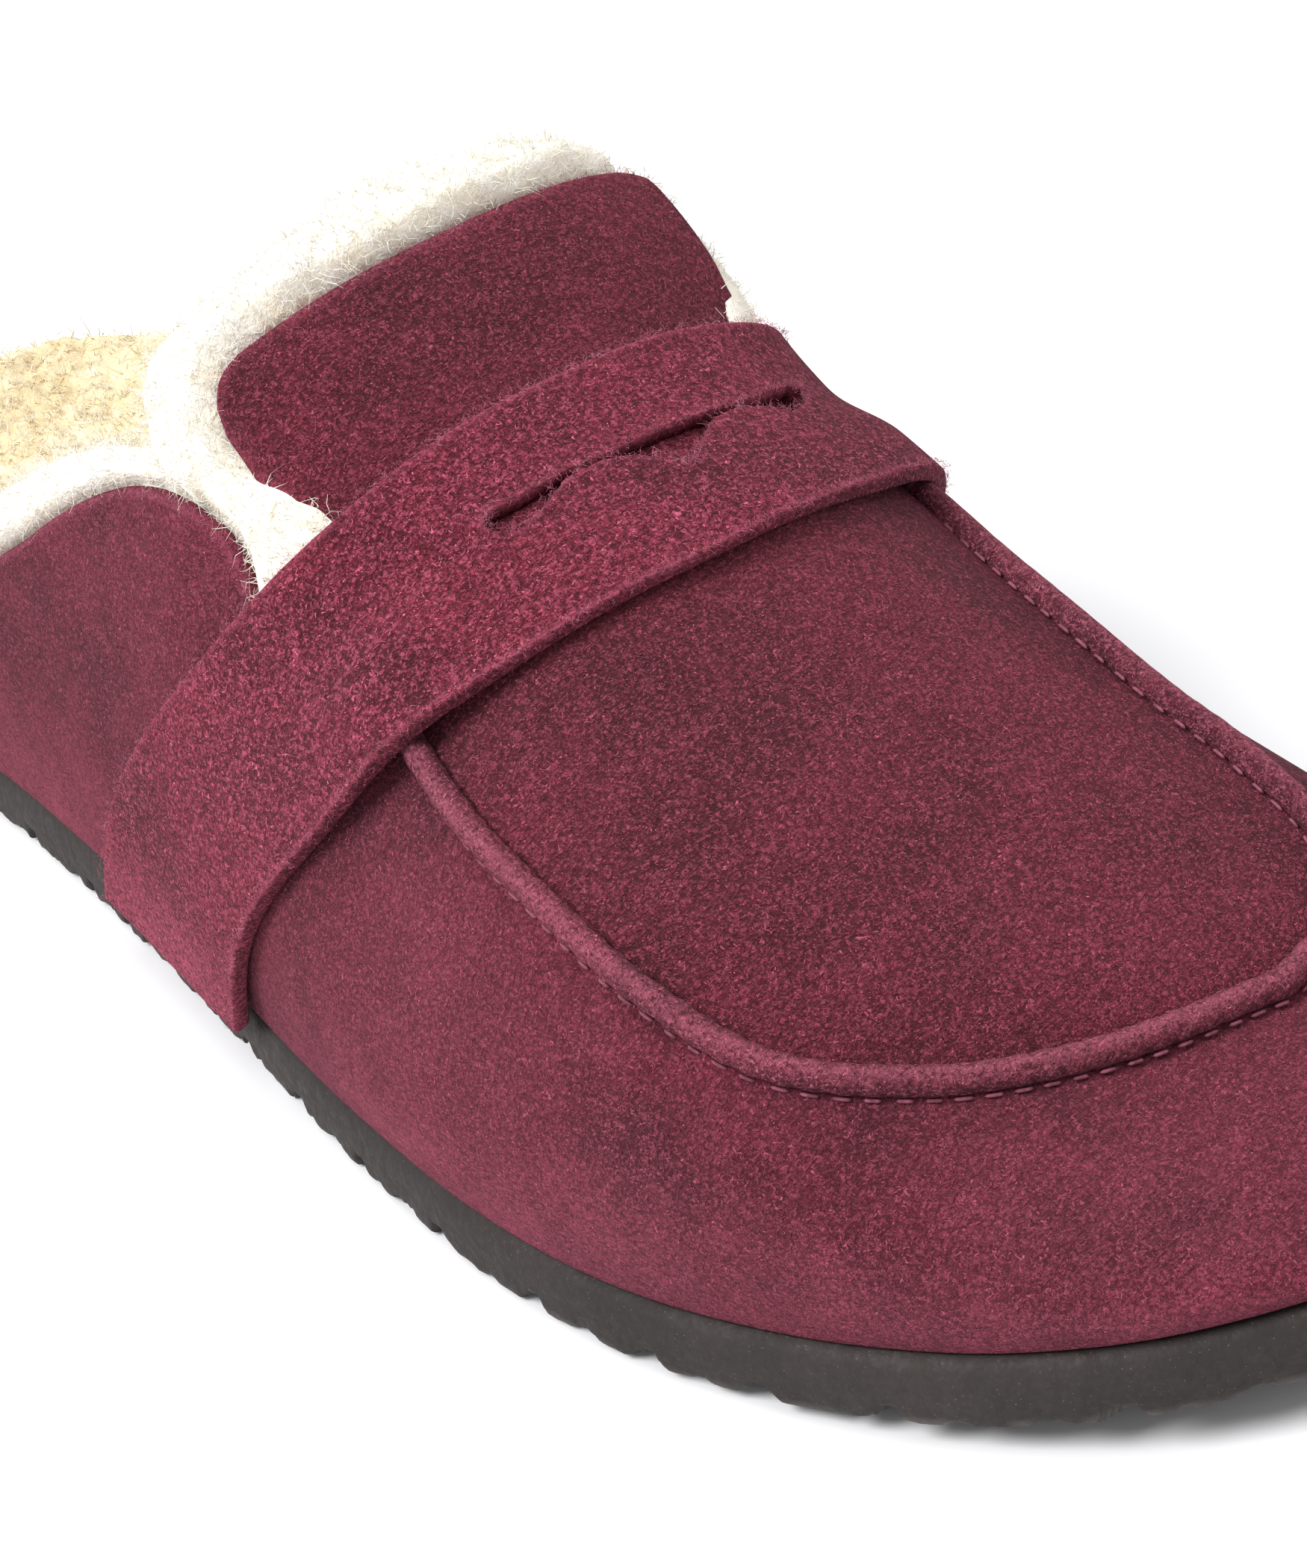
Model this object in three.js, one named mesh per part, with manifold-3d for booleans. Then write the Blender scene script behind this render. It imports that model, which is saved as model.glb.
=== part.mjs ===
// Slip-on penny loafer, right shoe, men's EU 42.
// Millimetres. +Z is up, the toe points to -Y, the outer (lateral) side is -X.
// The upper is described along two directions: r runs from the back of the
// quarters (60) past the instep (200) to the tip of the toe (300), and v runs up
// the side wall from the sole (0) to the apron seam (1), or u runs across the
// apron from the lateral seam (-1) to the medial seam (1).
import * as THREE from 'three';
import { ParametricGeometry } from 'three/addons/geometries/ParametricGeometry.js';
import { mergeVertices } from 'three/addons/utils/BufferGeometryUtils.js';
import Module from 'manifold-3d';

const wasm = await Module();
wasm.setup();

// ---- driving dimensions -------------------------------------------------
const SHOE_LENGTH = 283;      // outsole, heel to toe
const SOLE_THICKNESS = 9;     // EVA outsole at its edge
const TOE_SPRING = 8;         // lift of the outsole at the tip of the toe
const SPRING_START = 205;     // distance from the heel where the lift begins
const LEATHER = 1.8;          // suede thickness
const STRAP_THICKNESS = 2.2;  // penny strap, a heavier suede
const JUTE = 0.8;             // woven layers above and below the cork
const SHEARLING = 5;          // lining at the sides, pile included
const SOCK = 4;               // shearling on the footbed
const GAP = 0.3;              // clearance between neighbouring pieces
const BED_GAP = 0.65;         // clearance between the layers of the footbed
const RIDGE_RADIUS = 1.75;    // raised seam round the apron
const RIM = 9;                // pile standing above the leather edges
const GROOVE_DEPTH = 2.2;     // tread grooves
const X_SHIFT = -0.27;        // puts the middle of the box on x = 0
const Y_MID = SHOE_LENGTH / 2 - 0.415; // and on y = 0

// outline of the outsole, heel to toe: distance from the heel, x
const LAT = [[0, 2], [2, -8], [6, -17], [12, -24.3], [20, -30.2], [35, -35.2], [50, -37.3], [80, -38.9], [110, -42.2],
  [140, -46.6], [165, -50.4], [185, -52.2], [200, -52.3], [215, -50.6], [230, -46.6], [245, -40.3], [258, -32.2],
  [268, -22.8], [276, -10.2], [281.2, 2.5], [283, 14]];
const MED = [[0, 2], [2, 11], [6, 19], [12, 26], [20, 31.5], [35, 35.5], [50, 36.5], [80, 35], [110, 33.5], [140, 36.5],
  [165, 43.5], [185, 49], [200, 52], [210, 53], [225, 53], [245, 50], [260, 45], [270, 38.6], [278.4, 28.6], [283, 14]];
// the line where the wall meets the apron (and, further back, the mouth): r, x, distance from the heel, height
const SEAM_LAT = [[60, -35.5, 60, 76], [75, -35.3, 75, 78], [90, -35, 90, 80], [105, -34.3, 105, 81.5],
  [120, -32.6, 120, 83], [137, -30.7, 137, 82], [145, -30.8, 145, 76], [152, -31.5, 152, 70.5], [163, -34, 163, 61.5],
  [175, -37, 175, 54], [187, -39.6, 187, 50.2], [200, -40.9, 200, 47.3], [217.4, -40.6, 215, 42.6],
  [233.7, -36.5, 228.5, 37.3], [252.3, -24.6, 238.8, 33.2], [272.9, -8, 245.6, 30.2], [300, 15, 250, 28.4]];
const SEAM_MED = [[60, 35, 60, 76], [75, 34.8, 75, 78], [90, 34.2, 90, 80], [105, 33.3, 105, 81.5], [120, 32.3, 120, 83.5],
  [137, 32.0, 137, 83.4], [145, 31.8, 145, 77.2], [152, 31.7, 152, 69.7], [163, 33.6, 163, 59.5], [175, 35.8, 175, 51.8],
  [187, 35.2, 187, 48], [200, 33.8, 200, 45.4], [224.6, 33.4, 215, 41], [245.9, 34, 228, 37], [265.6, 32.4, 240, 32.8],
  [281, 26, 247, 30], [300, 15, 250, 28.4]];
const CROWN = [[60, 10], [105, 10], [120, 8.7], [137, 7.5], [145, 8.3], [152, 9.5], [163, 12.8], [175, 15.7], [187, 14],
  [200, 10.5], [217, 8], [233, 6], [252, 4], [273, 2], [300, 0]];
const SHOULDER_OUT = [[60, 6], [105, 6], [120, 8], [137, 12], [152, 13], [175, 10.5], [200, 10], [225, 10], [250, 12.5],
  [275, 16], [300, 18]];
const SHOULDER_DROP = [[60, 20], [105, 19], [120, 18], [137, 17], [152, 14.5], [175, 11], [200, 8], [225, 6.5], [250, 5.2],
  [275, 4.4], [300, 4]];
const BULGE = [[60, 3.5], [105, 4.5], [137, 5.5], [175, 6], [200, 6], [225, 5.5], [250, 5.4], [275, 5.6], [300, 6]];
const BULGE_HEIGHT = [[60, 0.38], [200, 0.38], [250, 0.42], [300, 0.48]];
const FEATHER_INSET = [[60, 0], [150, 0.2], [200, 0.5], [225, 1.0], [250, 1.4], [275, 1.6], [300, 1.6]];

// ---- curves -------------------------------------------------------------
function smooth(table, c, x) {
  const n = table.length;
  const xs = table.map((p) => p[0]);
  let i = 0;
  while (i < n - 2 && x >= xs[i + 1]) i++;
  const h = (k) => xs[k + 1] - xs[k];
  const d = (k) => (table[k + 1][c] - table[k][c]) / h(k);
  const m = (k) => (k === 0 ? d(0) : k === n - 1 ? d(n - 2) : (d(k - 1) * h(k) + d(k) * h(k - 1)) / (h(k) + h(k - 1)));
  const s = (x - xs[i]) / h(i), s2 = s * s, s3 = s2 * s;
  return table[i][c] * (2 * s3 - 3 * s2 + 1) + h(i) * m(i) * (s3 - 2 * s2 + s)
    + table[i + 1][c] * (-2 * s3 + 3 * s2) + h(i) * m(i + 1) * (s3 - s2);
}
const lift = (t) => (t > SPRING_START ? TOE_SPRING * ((t - SPRING_START) / (SHOE_LENGTH - SPRING_START)) ** 2 : 0);

// closed outline as one smooth curve: lateral side out, medial side back
const ring = [...LAT.map(([t, x]) => new THREE.Vector2(x, t)), ...MED.slice(1, -1).reverse().map(([t, x]) => new THREE.Vector2(x, t))];
const outline = new THREE.CatmullRomCurve3(ring.map((p) => new THREE.Vector3(p.x, p.y, 0)), true, 'centripetal');
outline.arcLengthDivisions = 1600;
const RING_N = 1600;
const ringPts = outline.getSpacedPoints(RING_N);
const ringLength = outline.getLength();
const near = (x, t) => {
  let best = 0, bd = Infinity;
  for (let i = 0; i < RING_N; i++) {
    const dd = (ringPts[i].x - x) ** 2 + (ringPts[i].y - t) ** 2;
    if (dd < bd) { bd = dd; best = i; }
  }
  return best;
};
const TIP = near(14, 283);
function ringAt(k) { // k: fractional index
  const n = RING_N;
  const kk = ((k % n) + n) % n;
  const i = Math.floor(kk), f = kk - i;
  const a = ringPts[i], b = ringPts[(i + 1) % n];
  const c = ringPts[(i + n - 4) % n], e = ringPts[(i + 5) % n];
  const tx = e.x - c.x, ty = e.y - c.y, l = Math.hypot(tx, ty);
  return { x: a.x + (b.x - a.x) * f, t: a.y + (b.y - a.y) * f, ox: -ty / l, ot: tx / l };
}
function indexAtT(side, t) { // where that side of the outline is at distance t from the heel
  let lo = side < 0 ? 0 : TIP, hi = side < 0 ? TIP : RING_N;
  for (let i = 0; i < 40; i++) {
    const mid = (lo + hi) / 2, v = ringAt(mid).t;
    if (side < 0 ? v < t : v > t) lo = mid; else hi = mid;
  }
  return (lo + hi) / 2;
}
const K200 = { '-1': indexAtT(-1, 200), 1: indexAtT(1, 200) };
function feather(side, r) {
  const k = r <= 200 ? indexAtT(side, r) : K200[side] + (TIP - K200[side]) * Math.min(1, (r - 200) / 100);
  return ringAt(k);
}
const seamLine = (side, r) => {
  const T = side < 0 ? SEAM_LAT : SEAM_MED;
  return [smooth(T, 1, r), smooth(T, 2, r), smooth(T, 3, r)];
};

// a point of the wall's outer face and its outward direction
function wall(side, r, v) {
  const f = feather(side, r);
  const ins = smooth(FEATHER_INSET, 1, r);
  const fx = f.x - f.ox * ins, ft = f.t - f.ot * ins;
  const fz = SOLE_THICKNESS + lift(ft) + GAP;
  const [sx, st, sz] = seamLine(side, r);
  const H = sz - fz;
  const b1 = smooth(BULGE, 1, r), b2 = smooth(SHOULDER_OUT, 1, r), d2 = smooth(SHOULDER_DROP, 1, r);
  const P = [[fx, ft, fz], [fx + f.ox * b1, ft + f.ot * b1, fz + smooth(BULGE_HEIGHT, 1, r) * H], [sx + f.ox * b2, st + f.ot * b2, sz - d2], [sx, st, sz]];
  const w = 1 - v;
  const B = [w * w * w, 3 * v * w * w, 3 * v * v * w, v * v * v];
  const D = [3 * w * w, 6 * v * w, 3 * v * v];
  const p = [0, 1, 2].map((c) => P[0][c] * B[0] + P[1][c] * B[1] + P[2][c] * B[2] + P[3][c] * B[3]);
  const g = [0, 1, 2].map((c) => (P[1][c] - P[0][c]) * D[0] + (P[2][c] - P[1][c]) * D[1] + (P[3][c] - P[2][c]) * D[2]);
  const go = g[0] * f.ox + g[1] * f.ot;
  const l = Math.hypot(g[2], go);
  return { p, n: [f.ox * g[2] / l, f.ot * g[2] / l, -go / l] };
}
function apronPoint(r, u) {
  const a = seamLine(-1, r), b = seamLine(1, r), k = (u + 1) / 2;
  const p = [0, 1, 2].map((c) => a[c] * (1 - k) + b[c] * k);
  p[2] += smooth(CROWN, 1, r) * (1 - Math.abs(u) ** 2.3);
  return p;
}
const norm = (v) => { const l = Math.hypot(...v); return v.map((c) => c / l); };
function apron(r, u) {
  const rr = Math.min(r, 300);
  const p = apronPoint(rr, u);
  const e = 1, a = apronPoint(Math.max(60, Math.min(rr, 299) - e), 0), b = apronPoint(Math.min(rr, 299) + e, 0);
  const T = norm([b[0] - a[0], b[1] - a[1], b[2] - a[2]]);
  const nc = norm([-T[2] * T[0], -T[2] * T[1], 1 - T[2] * T[2]]);
  const ns = wall(u < 0 ? -1 : 1, rr, 1).n;
  const k = Math.abs(u) ** 1.6;
  return { p, n: norm(nc.map((c, i) => c * (1 - k) + ns[i] * k)) };
}
// the whole arch over the foot: w -2 lateral sole, -1 lateral seam, 1 medial seam, 2 medial sole
const arch = (r, w) => (w <= -1 ? wall(-1, r, w + 2) : w >= 1 ? wall(1, r, 2 - w) : apron(r, w));
// around the toe: q 0 is lateral r0, 1 the tip, 2 medial r0
const around = (q, r0) => (q <= 1 ? [-1, r0 + (300 - r0) * q] : [1, r0 + (300 - r0) * (2 - q)]);

const place = (x, t, z) => [x - X_SHIFT, Y_MID - t, z];
const offset = (s, d) => place(s.p[0] + s.n[0] * d, s.p[1] + s.n[1] * d, s.p[2] + s.n[2] * d);

// ---- solids -------------------------------------------------------------
function cleaned(geometry) {
  const g = geometry;
  g.deleteAttribute('normal');
  g.deleteAttribute('uv');
  const m = mergeVertices(g, 1e-3);
  const idx = m.index.array, keep = [];
  for (let i = 0; i < idx.length; i += 3) {
    const [a, b, c] = [idx[i], idx[i + 1], idx[i + 2]];
    if (a !== b && b !== c && a !== c) keep.push(a, b, c);
  }
  m.setIndex(keep);
  return m;
}
function volume(g) {
  const p = g.attributes.position, ix = g.index.array;
  const a = new THREE.Vector3(), b = new THREE.Vector3(), c = new THREE.Vector3();
  let v = 0;
  for (let i = 0; i < ix.length; i += 3) {
    a.fromBufferAttribute(p, ix[i]); b.fromBufferAttribute(p, ix[i + 1]); c.fromBufferAttribute(p, ix[i + 2]);
    v += a.dot(b.cross(c)) / 6;
  }
  return v;
}
function facingOut(g) {
  if (volume(g) < 0) {
    const ix = Array.from(g.index.array);
    for (let i = 0; i < ix.length; i += 3) [ix[i + 1], ix[i + 2]] = [ix[i + 2], ix[i + 1]];
    g.setIndex(ix);
  }
  return g;
}
// a sheet of some thickness: outer(a, b) and inner(a, b) give points, a across and b along, both 0..1
function slab(na, nb, outer, inner, { startCap = true, endCap = true } = {}) {
  const rows = nb + (startCap ? 1 : 0) + (endCap ? 1 : 0);
  const loop = 2 * na + 2;
  const shape = (s, q, target) => {
    const k = Math.round(s * loop) % loop, j = Math.round(q * rows) - (startCap ? 1 : 0);
    const b = Math.min(1, Math.max(0, j / nb));
    const onOuter = k <= na;
    const a = onOuter ? k / na : (loop - 1 - k) / na;
    const o = outer(a, b), i = inner(a, b);
    const flat = j < 0 || j > nb;
    const r = flat ? o.map((c, n) => (c + i[n]) / 2) : onOuter ? o : i;
    target.set(...r);
  };
  return facingOut(cleaned(new ParametricGeometry(shape, loop, rows)));
}
function solidOf(g) {
  const p = g.attributes.position.array, ix = g.index.array;
  return new wasm.Manifold(new wasm.Mesh({ numProp: 3, vertProperties: new Float32Array(p), triVerts: new Uint32Array(ix) }));
}
function geometryOf(m) {
  const mesh = m.getMesh();
  const g = new THREE.BufferGeometry();
  g.setAttribute('position', new THREE.BufferAttribute(new Float32Array(mesh.vertProperties), 3));
  g.setIndex(new THREE.BufferAttribute(new Uint32Array(mesh.triVerts), 1));
  return g;
}
const lin = (a, b, k) => a + (b - a) * k;

const group = new THREE.Group();
group.name = 'penny_loafer';
const finish = {
  suede: { color: 0x73303f, roughness: 0.95, metalness: 0 },
  strap: { color: 0x7d2d41, roughness: 0.95, metalness: 0 },
  shearling: { color: 0xf3efe2, roughness: 1, metalness: 0 },
  eva: { color: 0x3f3835, roughness: 0.8, metalness: 0 },
  cork: { color: 0xa98358, roughness: 0.95, metalness: 0 },
  jute: { color: 0xb79d6c, roughness: 1, metalness: 0 },
  thread: { color: 0x5a2433, roughness: 0.8, metalness: 0 },
  stiffener: { color: 0xcfc6b4, roughness: 0.9, metalness: 0 },
};
function add(name, geometry, kind) {
  const g = geometry.clone();
  g.computeVertexNormals();
  const mesh = new THREE.Mesh(g, new THREE.MeshStandardMaterial(finish[kind]));
  mesh.name = name;
  group.add(mesh);
}

// outline of the whole foot shape, moved in from the edge by ins(t)
function insetShape(ins, n = 96) {
  const pts = [];
  for (let i = 0; i < n; i++) {
    const q = ringAt((i / n) * RING_N);
    const d = ins(q.t);
    pts.push(new THREE.Vector2(q.x - q.ox * d, q.t - q.ot * d));
  }
  return pts;
}
// a layer that follows the sole: for each station along its length, edge to edge
function layer(ins, bottom, top, na, nb) {
  const pts = insetShape(ins, 720);
  const ts = pts.map((p) => p.y), t0 = Math.min(...ts), t1 = Math.max(...ts);
  const i0 = ts.indexOf(t0), i1 = ts.indexOf(t1);
  const cross = (t) => {
    const hit = (from, to) => {
      for (let k = from; k !== to; k = (k + 1) % pts.length) {
        const a = pts[k], b = pts[(k + 1) % pts.length];
        if ((a.y - t) * (b.y - t) <= 0 && a.y !== b.y) return a.x + (b.x - a.x) * (t - a.y) / (b.y - a.y);
      }
      return null;
    };
    return [hit(i0, i1), hit(i1, i0)];
  };
  const row = (b) => {
    const e = 0.5 - 0.5 * Math.cos(Math.PI * b);
    const t = Math.min(t1 - 0.02, Math.max(t0 + 0.02, lin(t0, t1, lin(b, e, 0.75))));
    const [xl, xm] = cross(t);
    return { t, xl, xm };
  };
  const cache = new Map();
  const get = (b) => { if (!cache.has(b)) cache.set(b, row(b)); return cache.get(b); };
  const at = (z) => (a, b) => {
    const { t, xl, xm } = get(b);
    const s = a; // across
    const x = lin(xl, xm, s);
    return place(x, t, z(x, t, Math.min(x - xl, xm - x)));
  };
  return slab(na, nb, at(top), at(bottom));
}

// ---- outsole ------------------------------------------------------------
{
  const plan = new THREE.Shape(insetShape(() => 0, 110));
  const blank = new THREE.ExtrudeGeometry(plan, { depth: 60, bevelEnabled: false, steps: 1 });
  blank.applyMatrix4(new THREE.Matrix4().set(1, 0, 0, -X_SHIFT, 0, -1, 0, Y_MID, 0, 0, 1, -5, 0, 0, 0, 1));
  const side = [];
  const N = 14;
  side.push([-5, 0]);
  for (let i = 0; i <= N; i++) { const t = lin(SPRING_START, SHOE_LENGTH + 6, i / N); side.push([t, lift(t)]); }
  for (let i = N; i >= 0; i--) { const t = lin(SPRING_START, SHOE_LENGTH + 6, i / N); side.push([t, lift(t) + SOLE_THICKNESS]); }
  side.push([-5, SOLE_THICKNESS]);
  const profile = new THREE.ExtrudeGeometry(new THREE.Shape(side.map(([t, z]) => new THREE.Vector2(t, z))), { depth: 130, bevelEnabled: false, steps: 1 });
  // profile plane (t, z) extruded along x
  profile.applyMatrix4(new THREE.Matrix4().set(0, 0, 1, -65 - X_SHIFT, -1, 0, 0, Y_MID, 0, 1, 0, 0, 0, 0, 0, 1));
  let sole = solidOf(facingOut(cleaned(blank))).intersect(solidOf(facingOut(cleaned(profile))));
  // wavy grooves right across the tread, which notch the lower edge
  for (let i = 0; i < 17; i++) {
    const t = 14 + i * 15.6;
    const base = lift(t);
    const pts = [], back = [];
    for (let k = 0; k <= 10; k++) {
      const x = lin(-62, 62, k / 10);
      const y = Y_MID - t + 2.2 * Math.sin((k / 10) * Math.PI * 4 + i);
      pts.push(new THREE.Vector2(x, y - 1.3));
      back.unshift(new THREE.Vector2(x, y + 1.3));
    }
    const cut = new THREE.ExtrudeGeometry(new THREE.Shape([...pts, ...back]), { depth: 30, bevelEnabled: false, steps: 1 });
    cut.translate(0, 0, base + GROOVE_DEPTH - 30);
    sole = sole.subtract(solidOf(facingOut(cleaned(cut))));
  }
  add('outsole', geometryOf(sole), 'eva');
}

// ---- footbed layers -----------------------------------------------------
const soleTop = (t) => SOLE_THICKNESS + lift(t);
const CORK = [[0, 8.5], [40, 8], [80, 10], [110, 10.5], [150, 8.5], [190, 6.2], [230, 4.6], [255, 3.4], [283, 3]];
const EDGE_RISE = [[0, 6.5], [40, 6.5], [90, 5], [130, 2.6], [190, 1.2], [230, 0], [255, -1.2], [283, -1.6]];
const ARCH = (x, t) => (x > 8 ? 4.5 * Math.exp(-(((t - 105) / 32) ** 2)) * ((x - 8) / 26) ** 1.5 : 0);
const bedInset = (t) => lin(2.6, 4.2, THREE.MathUtils.smoothstep(t, 180, 235)) + lin(0, 5, THREE.MathUtils.smoothstep(t, 245, 280));
const baseZ = (t) => soleTop(t) + GAP;
const corkBottom = (t) => baseZ(t) + JUTE + GAP;
const rise = (t, e) => smooth(EDGE_RISE, 1, t) * Math.exp(-((Math.max(0, e) / 11) ** 1.6));
const corkTop = (x, t, e) => corkBottom(t) + smooth(CORK, 1, t) + rise(t, e) + ARCH(x, t);
add('jute_base', layer((t) => bedInset(t) + 0.2, (x, t) => baseZ(t), (x, t) => baseZ(t) + JUTE, 2, 30), 'jute');
add('footbed', layer(bedInset, (x, t) => corkBottom(t), corkTop, 8, 28), 'cork');
add('jute_top', layer(bedInset, (x, t, e) => corkTop(x, t, e) + BED_GAP, (x, t, e) => corkTop(x, t, e) + BED_GAP + JUTE, 8, 28), 'jute');
const bedTop = (x, t, e) => corkTop(x, t, e) + 2 * BED_GAP + JUTE;
const sockThickness = (t) => lin(SOCK, 1.8, THREE.MathUtils.smoothstep(t, 195, 250));
const sockInset = (t) => bedInset(t) + lin(0, SHEARLING + 2.2, THREE.MathUtils.smoothstep(t, 40, 62)) + lin(0, 12, THREE.MathUtils.smoothstep(t, 225, 280));
{
  // its edge follows the footbed, so heights are read with the footbed's own edge distance
  const shift = (t) => sockInset(t) - bedInset(t);
  add('footbed_sock', layer(sockInset, (x, t, e) => bedTop(x, t, e + shift(t)), (x, t, e) => bedTop(x, t, e + shift(t)) + sockThickness(t) * (e < 0.2 ? 0.55 : 1), 10, 28), 'shearling');
}

// ---- suede band round the footbed's heel ---------------------------------
const BAND_TOP = 25.6;
const BAND_END = 57;
{
  const k0 = indexAtT(-1, BAND_END), k1 = indexAtT(1, BAND_END) - RING_N;
  const z0 = SOLE_THICKNESS + GAP;
  const at = (d) => (a, b) => {
    const q = ringAt(lin(k0, k1, b));
    const z = lin(z0, BAND_TOP, a);
    const out = 1.0 * Math.sin(Math.PI * Math.min(1, a * 1.1)) - d;
    return place(q.x + q.ox * out, q.t + q.ot * out, z);
  };
  add('heel_band', slab(3, 36, at(0), at(LEATHER)), 'suede');
}

// ---- upper --------------------------------------------------------------
const VAMP_BACK = (v) => lin(137, 156.5, v);  // the wall's ends, under the strap, from the sole up
const PLUG_BACK = 137;  // top edge of the tongue
const wallTop = (r) => 1 - 0.011;
const wallLow = 0;
// the wall and the plug
{
  const at = (d) => (a, b) => { const [s, r] = around(2 * b, VAMP_BACK(a)); return offset(wall(s, r, lin(wallLow, wallTop(r), a)), d); };
  add('vamp_wall', slab(8, 56, at(0), at(-LEATHER)), 'suede');
}
{
  // the top of the tongue dips at the middle and has tight rounded corners; it widens a little behind the wall
  const corner = (u) => { const c = Math.max(0, (Math.abs(u) - 0.82) / 0.18); return 5 * (1 - Math.sqrt(Math.max(0, 1 - c * c))); };
  const rowOf = (u, b) => lin(PLUG_BACK + 1.2 - 4.2 * u * u + corner(u), 300, b < 1 ? 1 - (1 - b) ** 1.25 : 1);
  const at = (d) => (a, b) => {
    const u = lin(-1, 1, a), r = rowOf(u, b);
    return offset(arch(r, u * (1 + 0.05 * (1 - THREE.MathUtils.smoothstep(r, 143, 149.5)))), d);
  };
  add('plug_tongue', slab(12, 30, at(0), at(-LEATHER), { endCap: false }), 'suede');
}
// toe stiffener, lining of the wall, lining of the plug
{
  const at = (d) => (a, b) => { const [s, r] = around(2 * b, 228); return offset(wall(s, r, lin(0.34, 0.93, a)), d); };
  add('toe_puff', slab(4, 32, at(-LEATHER - GAP), at(-LEATHER - GAP - 0.8)), 'stiffener');
}
const liningDepth = (r) => lin(SHEARLING, 1.6, THREE.MathUtils.smoothstep(r, 200, 255));
// lowest place of the lining: clear of the footbed's edge
function liningFoot(side, r) {
  const f = feather(side, r);
  const need = corkBottom(f.t) + smooth(CORK, 1, f.t) + smooth(EDGE_RISE, 1, f.t) + JUTE + 2 * BED_GAP + ARCH(f.x, f.t) + lin(1, 2.4, THREE.MathUtils.smoothstep(f.t, 190, 235)) + 1.4 * THREE.MathUtils.smoothstep(f.t, 262, 280);
  let lo = 0, hi = 0.8;
  for (let i = 0; i < 30; i++) { const m = (lo + hi) / 2; if (wall(side, r, m).p[2] < need) lo = m; else hi = m; }
  return hi;
}
const feet = new Map();
const footAt = (s, r) => { const k = s + '_' + r.toFixed(4); if (!feet.has(k)) feet.set(k, liningFoot(s, r)); return feet.get(k); };
{
  const d0 = -LEATHER - GAP - 0.8 - GAP - 0.1;
  const at = (inner) => (a, b) => {
    const [s, r] = around(2 * b, VAMP_BACK(lin(0.25, 0.965, a)));
    return offset(wall(s, r, lin(footAt(s, r), 0.965, a)), inner ? d0 - liningDepth(r) : d0);
  };
  add('vamp_lining', slab(5, 40, at(false), at(true)), 'shearling');
}
{
  // stands above the tongue's edge as a thick rim
  const corner = (u) => { const c = Math.max(0, (Math.abs(u) - 0.66) / 0.34); return 9 * (1 - Math.sqrt(Math.max(0, 1 - c * c))); };
  const rowOf = (u, b) => lin(PLUG_BACK - RIM + 3 + corner(u), 292, b);
  const d0 = -LEATHER - GAP;
  const at = (inner) => (a, b) => {
    const u = lin(-0.97, 0.97, a), r = rowOf(u, b);
    const back = r < PLUG_BACK + 6 ? 1 : 0;
    return offset(apron(r, u), (inner ? d0 - liningDepth(r) * (0.9 + 0.25 * back) : d0) - 0.4 * u ** 4 - 1.3 * (1 - THREE.MathUtils.smoothstep(r, 148, 156)) * u ** 6);
  };
  add('tongue_lining', slab(8, 22, at(false), at(true)), 'shearling');
}
// quarters: top edge falls to the back, front edge lies under the strap
const QUARTER_BACK = 58.5, QUARTER_FRONT = 151.2, QUARTER_FOOT = 136.2;
const QUARTER_TOP = [[58.5, 27], [66, 31.5], [78, 40.5], [92, 49.6], [98, 53.4], [107, 59.6], [116, 65], [126, 69.1], [132, 70.2],
  [138, 69.7], [144, 66.8], [148, 62.7], [151.2, 57.5]];
function vAt(side, r, z) {
  let lo = 0, hi = 1;
  for (let i = 0; i < 30; i++) { const m = (lo + hi) / 2; if (wall(side, r, m).p[2] < z) lo = m; else hi = m; }
  return (lo + hi) / 2;
}
const vCache = new Map();
const vTop = (side, r, z) => { const k = [side, r.toFixed(4), z.toFixed(4)].join(); if (!vCache.has(k)) vCache.set(k, vAt(side, r, z)); return vCache.get(k); };
for (const [side, name] of [[-1, 'lateral'], [1, 'medial']]) {
    const at = (d) => (a, b) => {
    // its front edge leans forward as it rises, alongside the wall's end
    const r = lin(QUARTER_BACK, lin(QUARTER_FOOT, QUARTER_FRONT, Math.min(1, a * 0.86)), b);
    return offset(wall(side, r, lin(0, vTop(side, r, smooth(QUARTER_TOP, 1, Math.min(r, QUARTER_FRONT))), a)), d);
  };
  add('quarter_' + name, slab(6, 22, at(0), at(-LEATHER)), 'suede');
  const inner = (deep) => (a, b) => {
    const r = lin(QUARTER_BACK, VAMP_BACK(lin(0.25, 0.86, a)) - 2.0, b);
    const top = smooth(QUARTER_TOP, 1, r) + lin(4, 7.5, THREE.MathUtils.smoothstep(r, 60, 85));
    const bottom = footAt(side, r);
    const v1 = Math.max(bottom + 0.06, vTop(side, r, Math.min(top, 78)));
    const d0 = -LEATHER - GAP - 0.25;
    return offset(wall(side, r, lin(bottom, v1, a)), deep ? d0 - SHEARLING - 1.4 : d0);
  };
  add('quarter_lining_' + name, slab(6, 20, inner(false), inner(true)), 'shearling');
}

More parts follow.
